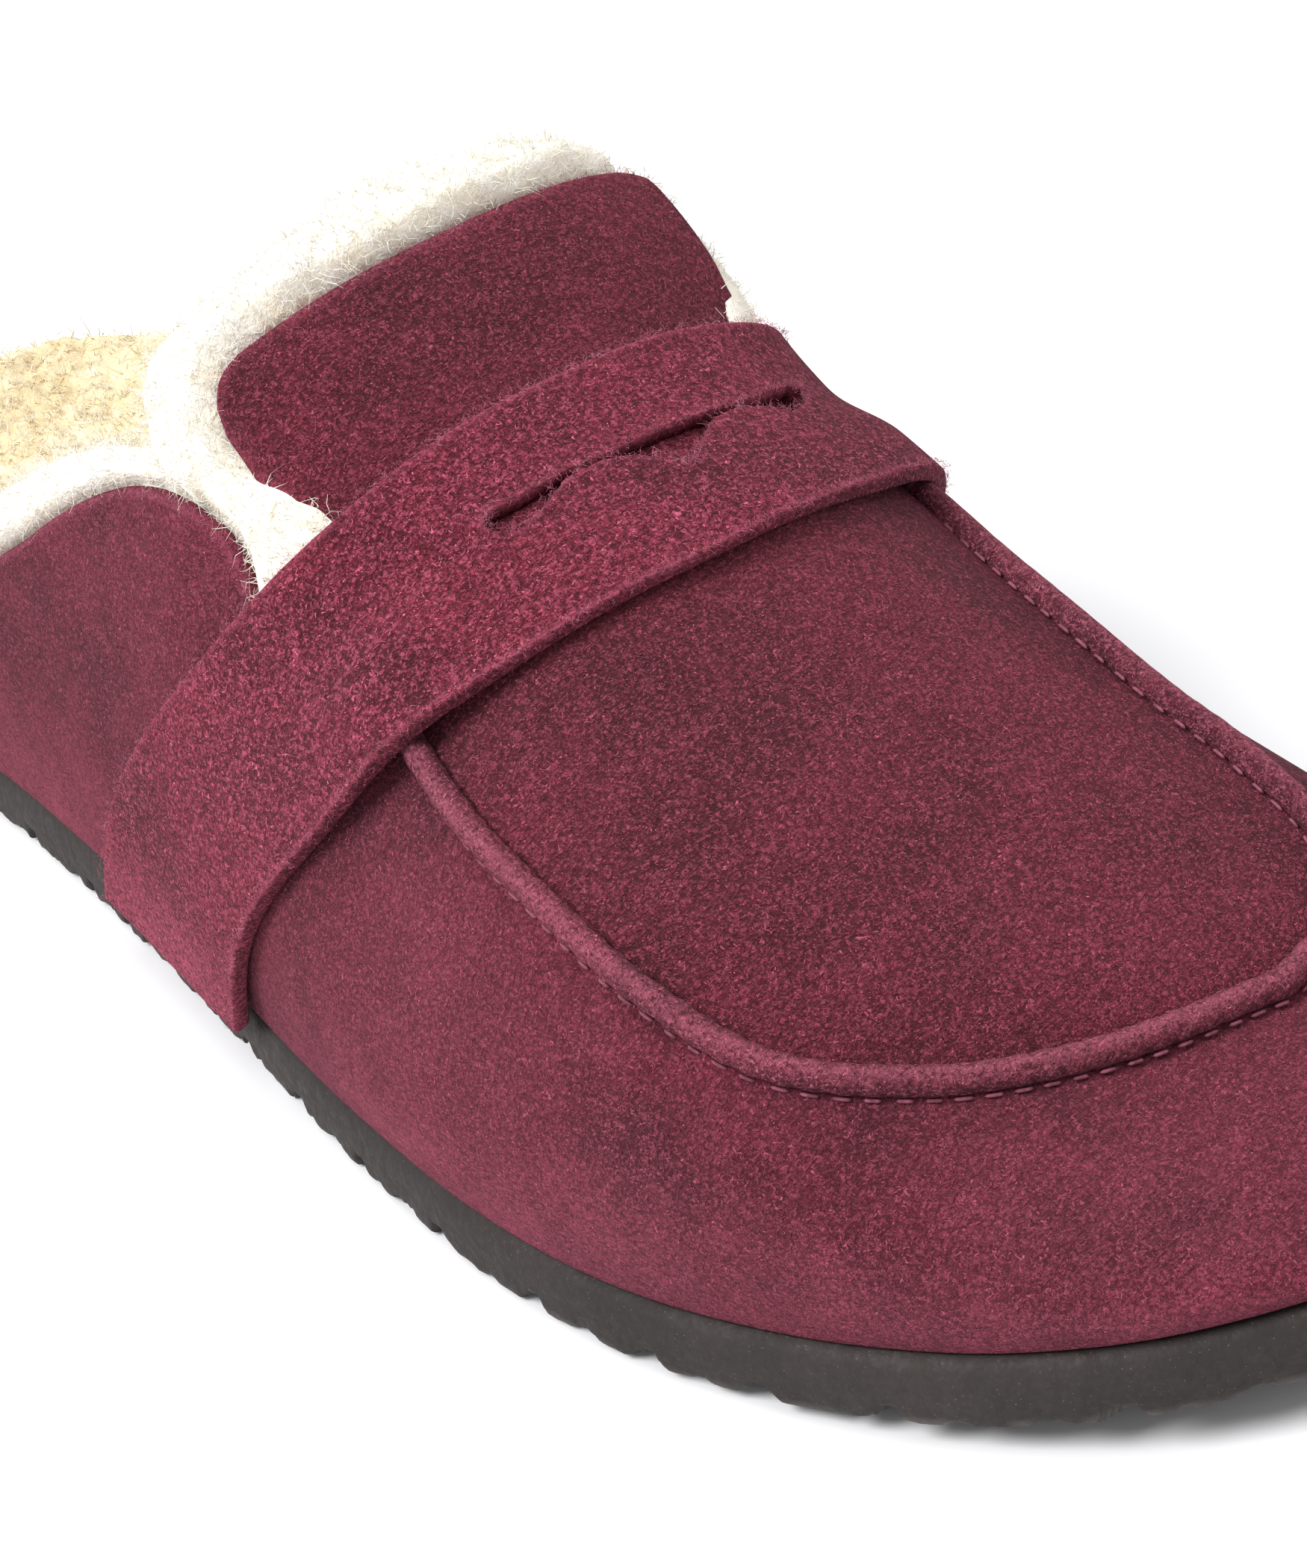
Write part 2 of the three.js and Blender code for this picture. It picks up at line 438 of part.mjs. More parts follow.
// ---- penny strap --------------------------------------------------------
// rear and front edges as rows of r across the arch
const STRAP_REAR = [[-2, 107.5], [-1.9, 111.8], [-1.8, 117.2], [-1.72, 123], [-1.62, 131], [-1.51, 138.6], [-1.38, 144.8], [-1.28, 148.4], [-1.18,
  151], [-1.07, 153.2], [-0.95, 154.9], [-0.7, 156.3], [-0.4, 157], [0, 157.5], [0.4, 157], [0.7, 156.3], [0.95, 154.9], [1.07, 153.2], [1.18, 151],
  [1.28, 148.4], [1.38, 144.8], [1.51, 138.6], [1.62, 131], [1.72, 123], [1.8, 117.2], [1.9, 111.8], [2, 107.5]];
const STRAP_FRONT = [[-2, 144], [-1.9, 147.6], [-1.8, 151.8], [-1.68, 156.5], [-1.57, 160.8], [-1.45, 165], [-1.32, 169], [-1.18, 172.6], [-1.04,
  175.6], [-0.86, 178.6], [-0.6, 181.5], [-0.3, 183.7], [0, 184.5], [0.3, 183.7], [0.6, 181.5], [0.86, 178.6], [1.04, 175.6], [1.18, 172.6], [1.32,
  169], [1.45, 165], [1.57, 160.8], [1.68, 156.5], [1.8, 151.8], [1.9, 147.6], [2, 144]];
const STRAP_CLEAR = 0.6;
{
  const wOf = (b) => lin(-2, 2, b);
  const clear = (w, p) => {
    const seam = Math.exp(-(((Math.abs(w) - 1) / 0.16) ** 2));
    return STRAP_CLEAR + 3.8 * seam * THREE.MathUtils.smoothstep(p, 0.3, 0.75);
  };
  const at = (d) => (a, b) => {
    const w = wOf(b), r = lin(smooth(STRAP_REAR, 1, w), smooth(STRAP_FRONT, 1, w), a);
    return offset(arch(r, w), clear(w, a) + d);
  };
  let strap = solidOf(slab(6, 52, at(STRAP_THICKNESS), at(0)));
  // keeper slot: its two lips almost meet either side of a notch, and open again at both ends
  const slot = new THREE.Shape([
    [-20.2, 1.9], [-21.6, 0.9], [-21.4, -0.3], [-20.5, -1.5], [-19.1, -2.3], [-16.9, -2.0], [-15.2, -1.6], [-12.7, -0.6], [-10.4, -0.1],
    [-8.1, -0.3], [-5.6, -0.9], [-3.3, -1.9], [-1.4, -3.4], [-0.1, -4.5], [0.6, -5.8], [1.8, -5.7], [3.4, -4.9], [5.5, -3.3], [8.2, -1.6],
    [11.5, -0.6], [14.3, -0.4], [17.5, -0.7], [19.1, -1.6], [20.5, -2.0], [24.6, 0.0], [26.1, 2.3], [25.2, 3.2], [21.4, 2.2], [15.2, 0.8],
    [7.5, 0.2], [1.3, 0.2], [-5.2, 0.2], [-10.2, 0.7], [-15.7, 1.1],
  ].map(([x, y]) => new THREE.Vector2(x, y)));
  const cut = new THREE.ExtrudeGeometry(slot, { depth: 34, bevelEnabled: false, steps: 1 });
  const c = apron(169, 0.06);
  const up = norm([0, c.n[1], c.n[2]]); // in (x, t, z)
  const Z = new THREE.Vector3(0, -up[1], up[2]).normalize();
  const X = new THREE.Vector3(1, 0, 0);
  const Y = new THREE.Vector3().crossVectors(Z, X);
  const o = new THREE.Vector3(...place(...c.p.map((v, i) => v + c.n[i] * 3))).addScaledVector(Z, -18);
  cut.applyMatrix4(new THREE.Matrix4().makeBasis(X, Y, Z).setPosition(o));
  strap = strap.subtract(solidOf(facingOut(cleaned(cut))));
  add('penny_strap', geometryOf(strap), 'strap');
}

// ---- raised seam --------------------------------------------------------
const RIDGE_BACK = 170;
const ridgeHeight = (r) => GAP + RIDGE_RADIUS + 0.2 + 0.4 * THREE.MathUtils.smoothstep(r, 250, 285);
{
  const pts = [];
  const N = 72;
  for (let i = 0; i <= N; i++) {
    const [s, r] = around((2 * i) / N, RIDGE_BACK);
    pts.push(new THREE.Vector3(...offset(wall(s, r, 1), ridgeHeight(r))));
  }
  const path = new THREE.CatmullRomCurve3(pts);
  // leather folded over the cord: a C whose mouth faces the shoe
  const M = 8, outer = [], inner = [];
  for (let k = 0; k <= M; k++) {
    const a = lin(-150, 150, k / M) * Math.PI / 180;
    outer.push([RIDGE_RADIUS * Math.sin(a), RIDGE_RADIUS * Math.cos(a)]);
    inner.unshift([(RIDGE_RADIUS - 0.75) * Math.sin(a), (RIDGE_RADIUS - 0.75) * Math.cos(a)]);
  }
  const at = (list) => (a, b) => {
    const [s, r] = around(2 * b, RIDGE_BACK);
    const W = wall(s, r, 1);
    const c = offset(W, ridgeHeight(r));
    const n = new THREE.Vector3(W.n[0], -W.n[1], W.n[2]);
    const tan = path.getTangent(b);
    const side = new THREE.Vector3().crossVectors(tan, n).normalize();
    const up = new THREE.Vector3().crossVectors(side, tan).normalize();
    const k = Math.round(a * M);
    const taper = b < 0.03 || b > 0.97 ? 0.8 : 1;
    const q = list[k];
    return [c[0] + (side.x * q[0] + up.x * q[1]) * taper, c[1] + (side.y * q[0] + up.y * q[1]) * taper, c[2] + (side.z * q[0] + up.z * q[1]) * taper];
  };
  add('apron_ridge', slab(M, 60, at(outer), at(inner.slice().reverse())), 'suede');
  const circle = new THREE.Shape();
  circle.absarc(0, 0, 0.6, 0, Math.PI * 2, false);
  const core = new THREE.ExtrudeGeometry(circle, { extrudePath: path, steps: 60, bevelEnabled: false, curveSegments: 3 });
  add('ridge_cord', facingOut(cleaned(core)), 'thread');
  // sewing thread along the outer foot of the ridge
  const tp = [];
  for (let i = 0; i <= N; i++) {
    const [s, r] = around((2 * i) / N, 178);
    tp.push(new THREE.Vector3(...offset(wall(s, r, 0.925), 0.75)));
  }
  const small = new THREE.Shape();
  small.absarc(0, 0, 0.35, 0, Math.PI * 2, false);
  const thread = new THREE.ExtrudeGeometry(small, { extrudePath: new THREE.CatmullRomCurve3(tp), steps: 60, bevelEnabled: false, curveSegments: 3 });
  add('seam_thread', facingOut(cleaned(thread)), 'thread');
}

export default group;
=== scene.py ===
import math
import bpy
import numpy as np
from mathutils import Matrix
from mathutils.kdtree import KDTree

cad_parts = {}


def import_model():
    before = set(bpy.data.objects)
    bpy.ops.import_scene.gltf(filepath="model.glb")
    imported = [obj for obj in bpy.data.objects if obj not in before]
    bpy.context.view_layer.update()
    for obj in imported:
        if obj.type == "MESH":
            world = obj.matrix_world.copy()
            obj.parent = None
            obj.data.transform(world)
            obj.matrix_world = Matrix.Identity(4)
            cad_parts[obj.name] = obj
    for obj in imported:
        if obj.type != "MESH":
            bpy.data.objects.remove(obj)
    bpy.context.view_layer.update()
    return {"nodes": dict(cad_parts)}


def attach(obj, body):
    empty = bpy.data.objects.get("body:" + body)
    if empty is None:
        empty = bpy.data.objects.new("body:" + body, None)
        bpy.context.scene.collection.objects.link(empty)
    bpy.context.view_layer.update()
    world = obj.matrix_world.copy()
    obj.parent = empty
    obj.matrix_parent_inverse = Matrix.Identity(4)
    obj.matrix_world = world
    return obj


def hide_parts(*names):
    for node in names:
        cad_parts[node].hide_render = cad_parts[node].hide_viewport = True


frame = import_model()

rng = np.random.default_rng(7)
MM = 0.001

# ---------------------------------------------------------------------------
# the shape of the shoe, in millimetres, the same numbers as the CAD
# ---------------------------------------------------------------------------
SHOE_LENGTH, SOLE_T, TOE_SPRING, SPRING_START = 283.0, 9.0, 8.0, 205.0
LEATHER, STRAP_T, JUTE, SHEARLING, SOCK, GAP, BED_GAP = 1.8, 2.2, 0.8, 5.0, 4.0, 0.3, 0.65
X_SHIFT, Y_MID = -0.27, 283.0 / 2 - 0.415
LAT = [[0, 2], [2, -8], [6, -17], [12, -24.3], [20, -30.2], [35, -35.2], [50, -37.3], [80, -38.9], [110, -42.2],
       [140, -46.6], [165, -50.4], [185, -52.2], [200, -52.3], [215, -50.6], [230, -46.6], [245, -40.3], [258, -32.2],
       [268, -22.8], [276, -10.2], [281.2, 2.5], [283, 14]]
MED = [[0, 2], [2, 11], [6, 19], [12, 26], [20, 31.5], [35, 35.5], [50, 36.5], [80, 35], [110, 33.5], [140, 36.5],
       [165, 43.5], [185, 49], [200, 52], [210, 53], [225, 53], [245, 50], [260, 45], [270, 38.6], [278.4, 28.6], [283, 14]]
SEAM_LAT = [[60, -35.5, 60, 76], [75, -35.3, 75, 78], [90, -35, 90, 80], [105, -34.3, 105, 81.5],
            [120, -32.6, 120, 83], [137, -30.7, 137, 82], [145, -30.8, 145, 76], [152, -31.5, 152, 70.5], [163, -34, 163, 61.5],
            [175, -37, 175, 54], [187, -39.6, 187, 50.2], [200, -40.9, 200, 47.3], [217.4, -40.6, 215, 42.6],
            [233.7, -36.5, 228.5, 37.3], [252.3, -24.6, 238.8, 33.2], [272.9, -8, 245.6, 30.2], [300, 15, 250, 28.4]]
SEAM_MED = [[60, 35, 60, 76], [75, 34.8, 75, 78], [90, 34.2, 90, 80], [105, 33.3, 105, 81.5], [120, 31.8, 120, 83],
            [137, 32.0, 137, 83.4], [145, 31.8, 145, 77.2], [152, 31.7, 152, 69.7], [163, 33.6, 163, 59.5], [175, 35.8, 175, 51.8],
            [187, 35.2, 187, 48], [200, 33.8, 200, 45.4], [224.6, 33.4, 215, 41], [245.9, 34, 228, 37], [265.6, 32.4, 240, 32.8],
            [281, 26, 247, 30], [300, 15, 250, 28.4]]
CROWN = [[60, 10], [105, 10], [120, 8.7], [137, 7.5], [145, 8.3], [152, 9.5], [163, 12.8], [175, 15.7], [187, 14],
         [200, 10.5], [217, 8], [233, 6], [252, 4], [273, 2], [300, 0]]
SHOULDER_OUT = [[60, 6], [105, 6], [120, 8], [137, 12], [152, 13], [175, 10.5], [200, 10], [225, 10], [250, 12.5], [275, 16], [300, 18]]
SHOULDER_DROP = [[60, 20], [105, 19], [120, 18], [137, 17], [152, 14.5], [175, 11], [200, 8], [225, 6.5], [250, 5.2], [275, 4.4], [300, 4]]
BULGE = [[60, 3.5], [105, 4.5], [137, 5.5], [175, 6], [200, 6], [225, 5.5], [250, 5.4], [275, 5.6], [300, 6]]
BULGE_HEIGHT = [[60, 0.38], [200, 0.38], [250, 0.42], [300, 0.48]]
FEATHER_INSET = [[60, 0], [150, 0.2], [200, 0.5], [225, 1.0], [250, 1.4], [275, 1.6], [300, 1.6]]


def smooth(table, c, x):
    T = np.asarray(table, float)
    xk, yk = T[:, 0], T[:, c]
    x = np.asarray(x, float)
    h = np.diff(xk)
    d = np.diff(yk) / h
    m = np.empty(len(xk))
    m[0], m[-1] = d[0], d[-1]
    m[1:-1] = (d[:-1] * h[1:] + d[1:] * h[:-1]) / (h[1:] + h[:-1])
    i = np.clip(np.searchsorted(xk, x, side="right") - 1, 0, len(h) - 1)
    s = (x - xk[i]) / h[i]
    s2 = s * s
    s3 = s2 * s
    return yk[i] * (2 * s3 - 3 * s2 + 1) + h[i] * m[i] * (s3 - 2 * s2 + s) + yk[i + 1] * (-2 * s3 + 3 * s2) + h[i] * m[i + 1] * (s3 - s2)


def lift(t):
    t = np.asarray(t, float)
    return np.where(t > SPRING_START, TOE_SPRING * (np.clip(t - SPRING_START, 0, None) / (SHOE_LENGTH - SPRING_START)) ** 2, 0.0)


def step(x, a, b):
    k = np.clip((np.asarray(x, float) - a) / (b - a), 0, 1)
    return k * k * (3 - 2 * k)


def lin(a, b, k):
    return a + (b - a) * k


def closed_curve(P, u):
    n = len(P)
    p = n * np.asarray(u, float)
    i = np.floor(p).astype(int)
    w = p - i
    q = [P[(i + k) % n] for k in (-1, 0, 1, 2)]
    dt = [np.maximum(((q[k] - q[k + 1]) ** 2).sum(-1) ** 0.25, 1e-4) for k in range(3)]
    dt = [d[:, None] for d in dt]
    t1 = ((q[1] - q[0]) / dt[0] - (q[2] - q[0]) / (dt[0] + dt[1]) + (q[2] - q[1]) / dt[1]) * dt[1]
    t2 = ((q[2] - q[1]) / dt[1] - (q[3] - q[1]) / (dt[1] + dt[2]) + (q[3] - q[2]) / dt[2]) * dt[1]
    w = w[:, None]
    return q[1] + t1 * w + (-3 * q[1] + 3 * q[2] - 2 * t1 - t2) * w ** 2 + (2 * q[1] - 2 * q[2] + t1 + t2) * w ** 3


ring_ctrl = np.array([[x, t] for t, x in LAT] + [[x, t] for t, x in MED[1:-1][::-1]], float)
RING_N = 1600
_raw = closed_curve(ring_ctrl, np.linspace(0, 1, RING_N + 1))
_len = np.r_[0, np.cumsum(np.hypot(*np.diff(_raw, axis=0).T))]
_u = np.interp(np.linspace(0, 1, RING_N + 1) * _len[-1], _len, np.linspace(0, 1, RING_N + 1))
ring = closed_curve(ring_ctrl, _u)[:RING_N]
TIP = int(((ring - [14, 283]) ** 2).sum(1).argmin())


def ring_at(k):
    k = np.mod(np.asarray(k, float), RING_N)
    i = np.floor(k).astype(int) % RING_N
    f = (k - np.floor(k))[..., None]
    p = ring[i] * (1 - f) + ring[(i + 1) % RING_N] * f
    e = ring[(i + 5) % RING_N] - ring[(i - 4) % RING_N]
    e = e / np.hypot(e[..., 0], e[..., 1])[..., None]
    return p[..., 0], p[..., 1], -e[..., 1], e[..., 0]


def index_at_t(side, t):
    if side < 0:
        return np.interp(t, ring[: TIP + 1, 1], np.arange(TIP + 1))
    seg = np.r_[ring[TIP:, 1], ring[0, 1]][::-1]
    return np.interp(t, seg, np.arange(TIP, RING_N + 1)[::-1].astype(float))


K200 = {-1: float(index_at_t(-1, 200.0)), 1: float(index_at_t(1, 200.0))}


def feather(side, r):
    r = np.asarray(r, float)
    k = np.where(r <= 200, index_at_t(side, np.minimum(r, 200)), K200[side] + (TIP - K200[side]) * np.clip((r - 200) / 100, 0, 1))
    return ring_at(k)


def seam_line(side, r):
    T = SEAM_LAT if side < 0 else SEAM_MED
    return np.stack([smooth(T, 1, r), smooth(T, 2, r), smooth(T, 3, r)], -1)


def wall(side, r, v):
    """Points and outward directions of the wall's outer face; r and v are arrays."""
    r, v = np.broadcast_arrays(np.asarray(r, float), np.asarray(v, float))
    fx, ft, ox, ot = feather(side, r)
    ins = smooth(FEATHER_INSET, 1, r)
    fx, ft = fx - ox * ins, ft - ot * ins
    fz = SOLE_T + lift(ft) + GAP
    S = seam_line(side, r)
    H = S[..., 2] - fz
    b1, b2, d2 = smooth(BULGE, 1, r), smooth(SHOULDER_OUT, 1, r), smooth(SHOULDER_DROP, 1, r)
    P0 = np.stack([fx, ft, fz], -1)
    P1 = P0 + np.stack([ox * b1, ot * b1, smooth(BULGE_HEIGHT, 1, r) * H], -1)
    P2 = S + np.stack([ox * b2, ot * b2, -d2], -1)
    V = v[..., None]
    W = 1 - V
    p = P0 * W ** 3 + 3 * P1 * V * W * W + 3 * P2 * V * V * W + S * V ** 3
    g = (P1 - P0) * 3 * W * W + (P2 - P1) * 6 * V * W + (S - P2) * 3 * V * V
    go = g[..., 0] * ox + g[..., 1] * ot
    l = np.hypot(g[..., 2], go)
    n = np.stack([ox * g[..., 2] / l, ot * g[..., 2] / l, -go / l], -1)
    return p, n


def apron_point(r, u):
    r, u = np.broadcast_arrays(np.asarray(r, float), np.asarray(u, float))
    a, b = seam_line(-1, r), seam_line(1, r)
    k = ((u + 1) / 2)[..., None]
    p = a * (1 - k) + b * k
    p[..., 2] += smooth(CROWN, 1, r) * (1 - np.abs(u) ** 2.3)
    return p


def unit(v):
    return v / np.maximum(np.linalg.norm(v, axis=-1, keepdims=True), 1e-12)


def apron(r, u):
    r, u = np.broadcast_arrays(np.minimum(np.asarray(r, float), 300), np.asarray(u, float))
    p = apron_point(r, u)
    rr = np.minimum(r, 299)
    z = np.zeros_like(rr)
    T = unit(apron_point(rr + 1, z) - apron_point(np.maximum(60, rr - 1), z))
    nc = unit(np.stack([-T[..., 2] * T[..., 0], -T[..., 2] * T[..., 1], 1 - T[..., 2] ** 2], -1))
    nl, nm = wall(-1, r, 1.0)[1], wall(1, r, 1.0)[1]
    ns = np.where((u < 0)[..., None], nl, nm)
    k = (np.abs(u) ** 1.6)[..., None]
    return p, unit(nc * (1 - k) + ns * k)


def arch(r, w):
    """The whole section over the foot: w -2 and 2 at the sole, -1 and 1 at the seam."""
    r, w = np.broadcast_arrays(np.asarray(r, float), np.asarray(w, float))
    a = wall(-1, r, np.clip(w + 2, 0, 1))
    b = apron(r, np.clip(w, -1, 1))
    c = wall(1, r, np.clip(2 - w, 0, 1))
    left, right = (w <= -1)[..., None], (w >= 1)[..., None]
    return tuple(np.where(left, x, np.where(right, z, y)) for x, y, z in zip(a, b, c))


def around(q, r0):
    """Round the toe: q 0 at r0 on the lateral side, 1 at the tip, 2 at r0 on the medial side."""
    return np.where(q <= 1, r0 + (300 - r0) * q, r0 + (300 - r0) * (2 - q))


def wall_around(q, r0, v):
    r = around(q, r0)
    a, b = wall(-1, r, v), wall(1, r, v)
    left = np.broadcast_to(np.asarray(q) <= 1, a[0].shape[:-1])[..., None]
    return tuple(np.where(left, x, y) for x, y in zip(a, b))


def world(P):
    return np.stack([P[..., 0] - X_SHIFT, Y_MID - P[..., 1], P[..., 2]], -1) * MM


def world_dir(N):
    return np.stack([N[..., 0], -N[..., 1], N[..., 2]], -1)


# ---------------------------------------------------------------------------
# noise, meshes, fibres
# ---------------------------------------------------------------------------
def _hash(ix, iy, iz, seed):
    h = (ix * 374761393 + iy * 668265263 + iz * 2147483647 + seed * 144665) & 0xFFFFFFFF
    h = ((h ^ (h >> 13)) * 1274126177) & 0xFFFFFFFF
    h = ((h ^ (h >> 16)) * 2246822519) & 0xFFFFFFFF
    return ((h ^ (h >> 13)) & 0xFFFFFF) / float(0xFFFFFF)


def noise(P, size, seed=0):
    """Smooth value noise, -1 to 1, over points in millimetres, with bumps about size across."""
    q = np.asarray(P, float) / size + 1000.0
    i = np.floor(q).astype(np.int64)
    f = q - i
    f = f * f * (3 - 2 * f)
    out = 0
    for a in (0, 1):
        wx = f[..., 0] if a else 1 - f[..., 0]
        for b in (0, 1):
            wy = f[..., 1] if b else 1 - f[..., 1]
            for c in (0, 1):
                wz = f[..., 2] if c else 1 - f[..., 2]
                out = out + wx * wy * wz * _hash(i[..., 0] + a, i[..., 1] + b, i[..., 2] + c, seed)
    return out * 2 - 1


def fbm(P, size, octaves=3, seed=0):
    v, amp, tot = 0, 1.0, 0
    for o in range(octaves):
        v = v + amp * noise(P, size / 2 ** o, seed + 17 * o)
        tot += amp
        amp *= 0.55
    return v / tot


def make_mesh(name, V, quads=None, tris=None):
    """V in metres."""
    me = bpy.data.meshes.new(name)
    V = np.ascontiguousarray(V, dtype=np.float32)
    q = np.zeros((0, 4), np.int32) if quads is None else np.asarray(quads, np.int32)
    t = np.zeros((0, 3), np.int32) if tris is None else np.asarray(tris, np.int32)
    me.vertices.add(len(V))
    me.vertices.foreach_set("co", V.ravel())
    me.loops.add(q.size + t.size)
    me.loops.foreach_set("vertex_index", np.concatenate([q.ravel(), t.ravel()]).astype(np.int32))
    me.polygons.add(len(q) + len(t))
    starts = np.concatenate([np.arange(len(q)) * 4, q.size + np.arange(len(t)) * 3]).astype(np.int32)
    me.polygons.foreach_set("loop_start", starts)
    me.polygons.foreach_set("use_smooth", np.ones(len(q) + len(t), bool))
    me.update(calc_edges=True)
    me.validate()
    ob = bpy.data.objects.new(name, me)
    bpy.context.scene.collection.objects.link(ob)
    return ob


def point_attr(ob, name, values):
    a = ob.data.attributes.new(name, "FLOAT", "POINT")
    a.data.foreach_set("value", np.ascontiguousarray(values, dtype=np.float32))


def weld(V, quads, tol=2e-3):
    """Merges points closer than tol (mm) and drops the faces that fold up."""
    key = np.round(V / tol).astype(np.int64)
    _, first, inv = np.unique(key, axis=0, return_index=True, return_inverse=True)
    inv = inv.ravel()
    Q = inv[quads]
    V = V[first]
    s = np.sort(Q, axis=1)
    dup = (s[:, 1:] == s[:, :-1]).sum(1)
    full = Q[dup == 0]
    part = Q[dup == 1]
    tris = []
    for row in part:
        u = []
        for k in row:
            if k not in u:
                u.append(int(k))
        if len(u) == 3:
            tris.append(u)
    return V, full, (np.array(tris, np.int32) if tris else None)


def slab(name, a, b, outer, inner, edge=3, cap0=True, cap1=True, inner_step=3, round_=1.0):
    """A closed sheet of some thickness with rounded borders. outer(A, B) and inner(A, B) give points in mm
    over the grids of a (across) and b (along)."""
    A, B = np.meshgrid(a, b)  # rows b, columns a
    O, I = outer(A, B), inner(A, B)
    M, h = (O + I) / 2, np.linalg.norm(O - I, axis=-1, keepdims=True) / 2

    def border(k, k1):  # rounded border beyond column k, away from column k1
        out = unit(M[:, k] - M[:, k1])
        rows = []
        for e in range(1, edge + 1):
            p = math.pi * e / (edge + 1)
            rows.append(M[:, k] + (O[:, k] - M[:, k]) * math.cos(p) + out * h[:, k] * math.sin(p) * round_)
        return np.stack(rows, 1)

    right, left = border(-1, -2), border(0, 1)[:, ::-1]
    cols = list(range(0, len(a), inner_step))
    if cols[-1] != len(a) - 1:
        cols.append(len(a) - 1)
    ring_rows = np.concatenate([O, right, I[:, cols[::-1]], left], 1)  # loop across
    n_loop = ring_rows.shape[1]
    mid_loop = np.concatenate([M, np.repeat(M[:, -1:], edge, 1), M[:, cols[::-1]], np.repeat(M[:, :1], edge, 1)], 1)

    def cap(i, i1):
        away = unit(mid_loop[i] - mid_loop[i1])
        hh = np.linalg.norm(ring_rows[i] - mid_loop[i], axis=-1, keepdims=True)
        rows = []
        for e in range(1, edge + 1):
            p = (math.pi / 2) * e / edge
            rows.append(mid_loop[i] + (ring_rows[i] - mid_loop[i]) * math.cos(p) + away * hh * math.sin(p) * 0.9)
        rows[-1] = mid_loop[i] + away * np.median(hh) * 0.9
        return rows

    rows = list(ring_rows)
    if cap0:
        rows = cap(0, 1)[::-1] + rows
    if cap1:
        rows = rows + cap(-1, -2)
    V = np.stack(rows, 0)
    nr = V.shape[0]
    idx = np.arange(nr * n_loop).reshape(nr, n_loop)
    nx = np.roll(idx, -1, 1)
    quads = np.stack([idx[:-1], nx[:-1], nx[1:], idx[1:]], -1).reshape(-1, 4)
    V, quads, tris = weld(V.reshape(-1, 3), quads)
    return finish_piece(name, V, quads, tris)


def finish_piece(name, V, quads, tris):
    W = world(V)
    # face outwards
    T = quads[:, [0, 1, 2]] if len(quads) else tris
    T2 = quads[:, [0, 2, 3]] if len(quads) else tris[:0]
    vol = 0.0
    for t in (T, T2) + ((tris,) if tris is not None and len(quads) else ()):
        vol += np.einsum("ij,ij->i", W[t[:, 0]], np.cross(W[t[:, 1]], W[t[:, 2]])).sum()
    if vol < 0:
        quads = quads[:, ::-1]
        tris = None if tris is None else tris[:, ::-1]
    return make_mesh(name, W, quads, tris)


def wear_from(ob, lines, reach, name="wear"):
    """Stores how near each vertex is to the given lines (mm): 1 on them, falling off over reach."""
    P = np.concatenate([np.asarray(l).reshape(-1, 3) for l in lines])
    P = world(P)
    kd = KDTree(len(P))
    for i, p in enumerate(P):
        kd.insert(p, i)
    kd.balance()
    co = np.empty(len(ob.data.vertices) * 3, np.float32)
    ob.data.vertices.foreach_get("co", co)
    co = co.reshape(-1, 3)
    d = np.array([kd.find(c)[2] for c in co]) / MM
    point_attr(ob, name, np.exp(-(d / reach) ** 1.5))
    # on the suede, also a mask that is lighter low on the wall and most on the outer side: painted highlight, partly
    # brushed nap
    if name == "wear":
        S = np.stack([co[:, 0] / MM + X_SHIFT, Y_MID - co[:, 1] / MM, co[:, 2] / MM], -1)
        low = 1 - step(S[:, 2] + 5 * fbm(S, 24, 2, 77), 9, 33)
        side = step(-S[:, 0], -6, 26)  # the outer side, where the key light falls, is made lighter than the toe and the inner side: painted highlight, partly brushed nap
        point_attr(ob, "rub_and_painted_highlight", np.clip(low * (0.25 + 0.75 * side) * (0.75 + 0.6 * fbm(S, 30, 2, 78)), 0, 1))


def fibres(name, roots, dirs, length, radius, bend=0.4, segs=2, sides=3, seed=1, curl=0.0):
    """Fine tapered hairs, closed at both ends, as one mesh. roots in mm, dirs unit, both in the shoe's own axes."""
    g = np.random.default_rng(seed)
    n = len(roots)
    length = np.broadcast_to(np.asarray(length, float), (n,)) * g.uniform(0.6, 1.3, n)
    radius = np.broadcast_to(np.asarray(radius, float), (n,)) * g.uniform(0.75, 1.25, n)
    dirs = unit(dirs)
    side1 = unit(np.cross(dirs, unit(g.normal(size=(n, 3)))))
    side2 = np.cross(dirs, side1)
    ph = g.uniform(0, 2 * math.pi, n)
    rings = []
    for s in range(segs + 1):
        k = s / segs
        c = roots + dirs * (length * k * (1 - 0.25 * bend * k))[:, None] + side1 * (length * bend * k * k)[:, None]
        if curl:
            c = c + (side1 * np.cos(ph + 5 * k)[:, None] + side2 * np.sin(ph + 5 * k)[:, None]) * (curl * length * k)[:, None] * 0.5
        r = radius * (1 - 0.75 * k)
        pts = [c + (side1 * math.cos(2 * math.pi * j / sides) + side2 * math.sin(2 * math.pi * j / sides)) * r[:, None] for j in range(sides)]
        rings.append(np.stack(pts, 1))
    V = np.stack(rings, 1).reshape(-1, 3)  # n, segs+1, sides
    base = (np.arange(n) * (segs + 1) * sides)[:, None]
    quads = []
    for s in range(segs):
        for j in range(sides):
            j2 = (j + 1) % sides
            quads.append(base + np.array([[s * sides + j, s * sides + j2, (s + 1) * sides + j2, (s + 1) * sides + j]]))
    Q = np.concatenate(quads, 0)
    bottom = base + np.array([list(range(sides))[::-1]])
    top = base + np.array([[segs * sides + j for j in range(sides)]])
    tris = np.concatenate([bottom, top], 0)
    return make_mesh(name, world(V), Q, tris)


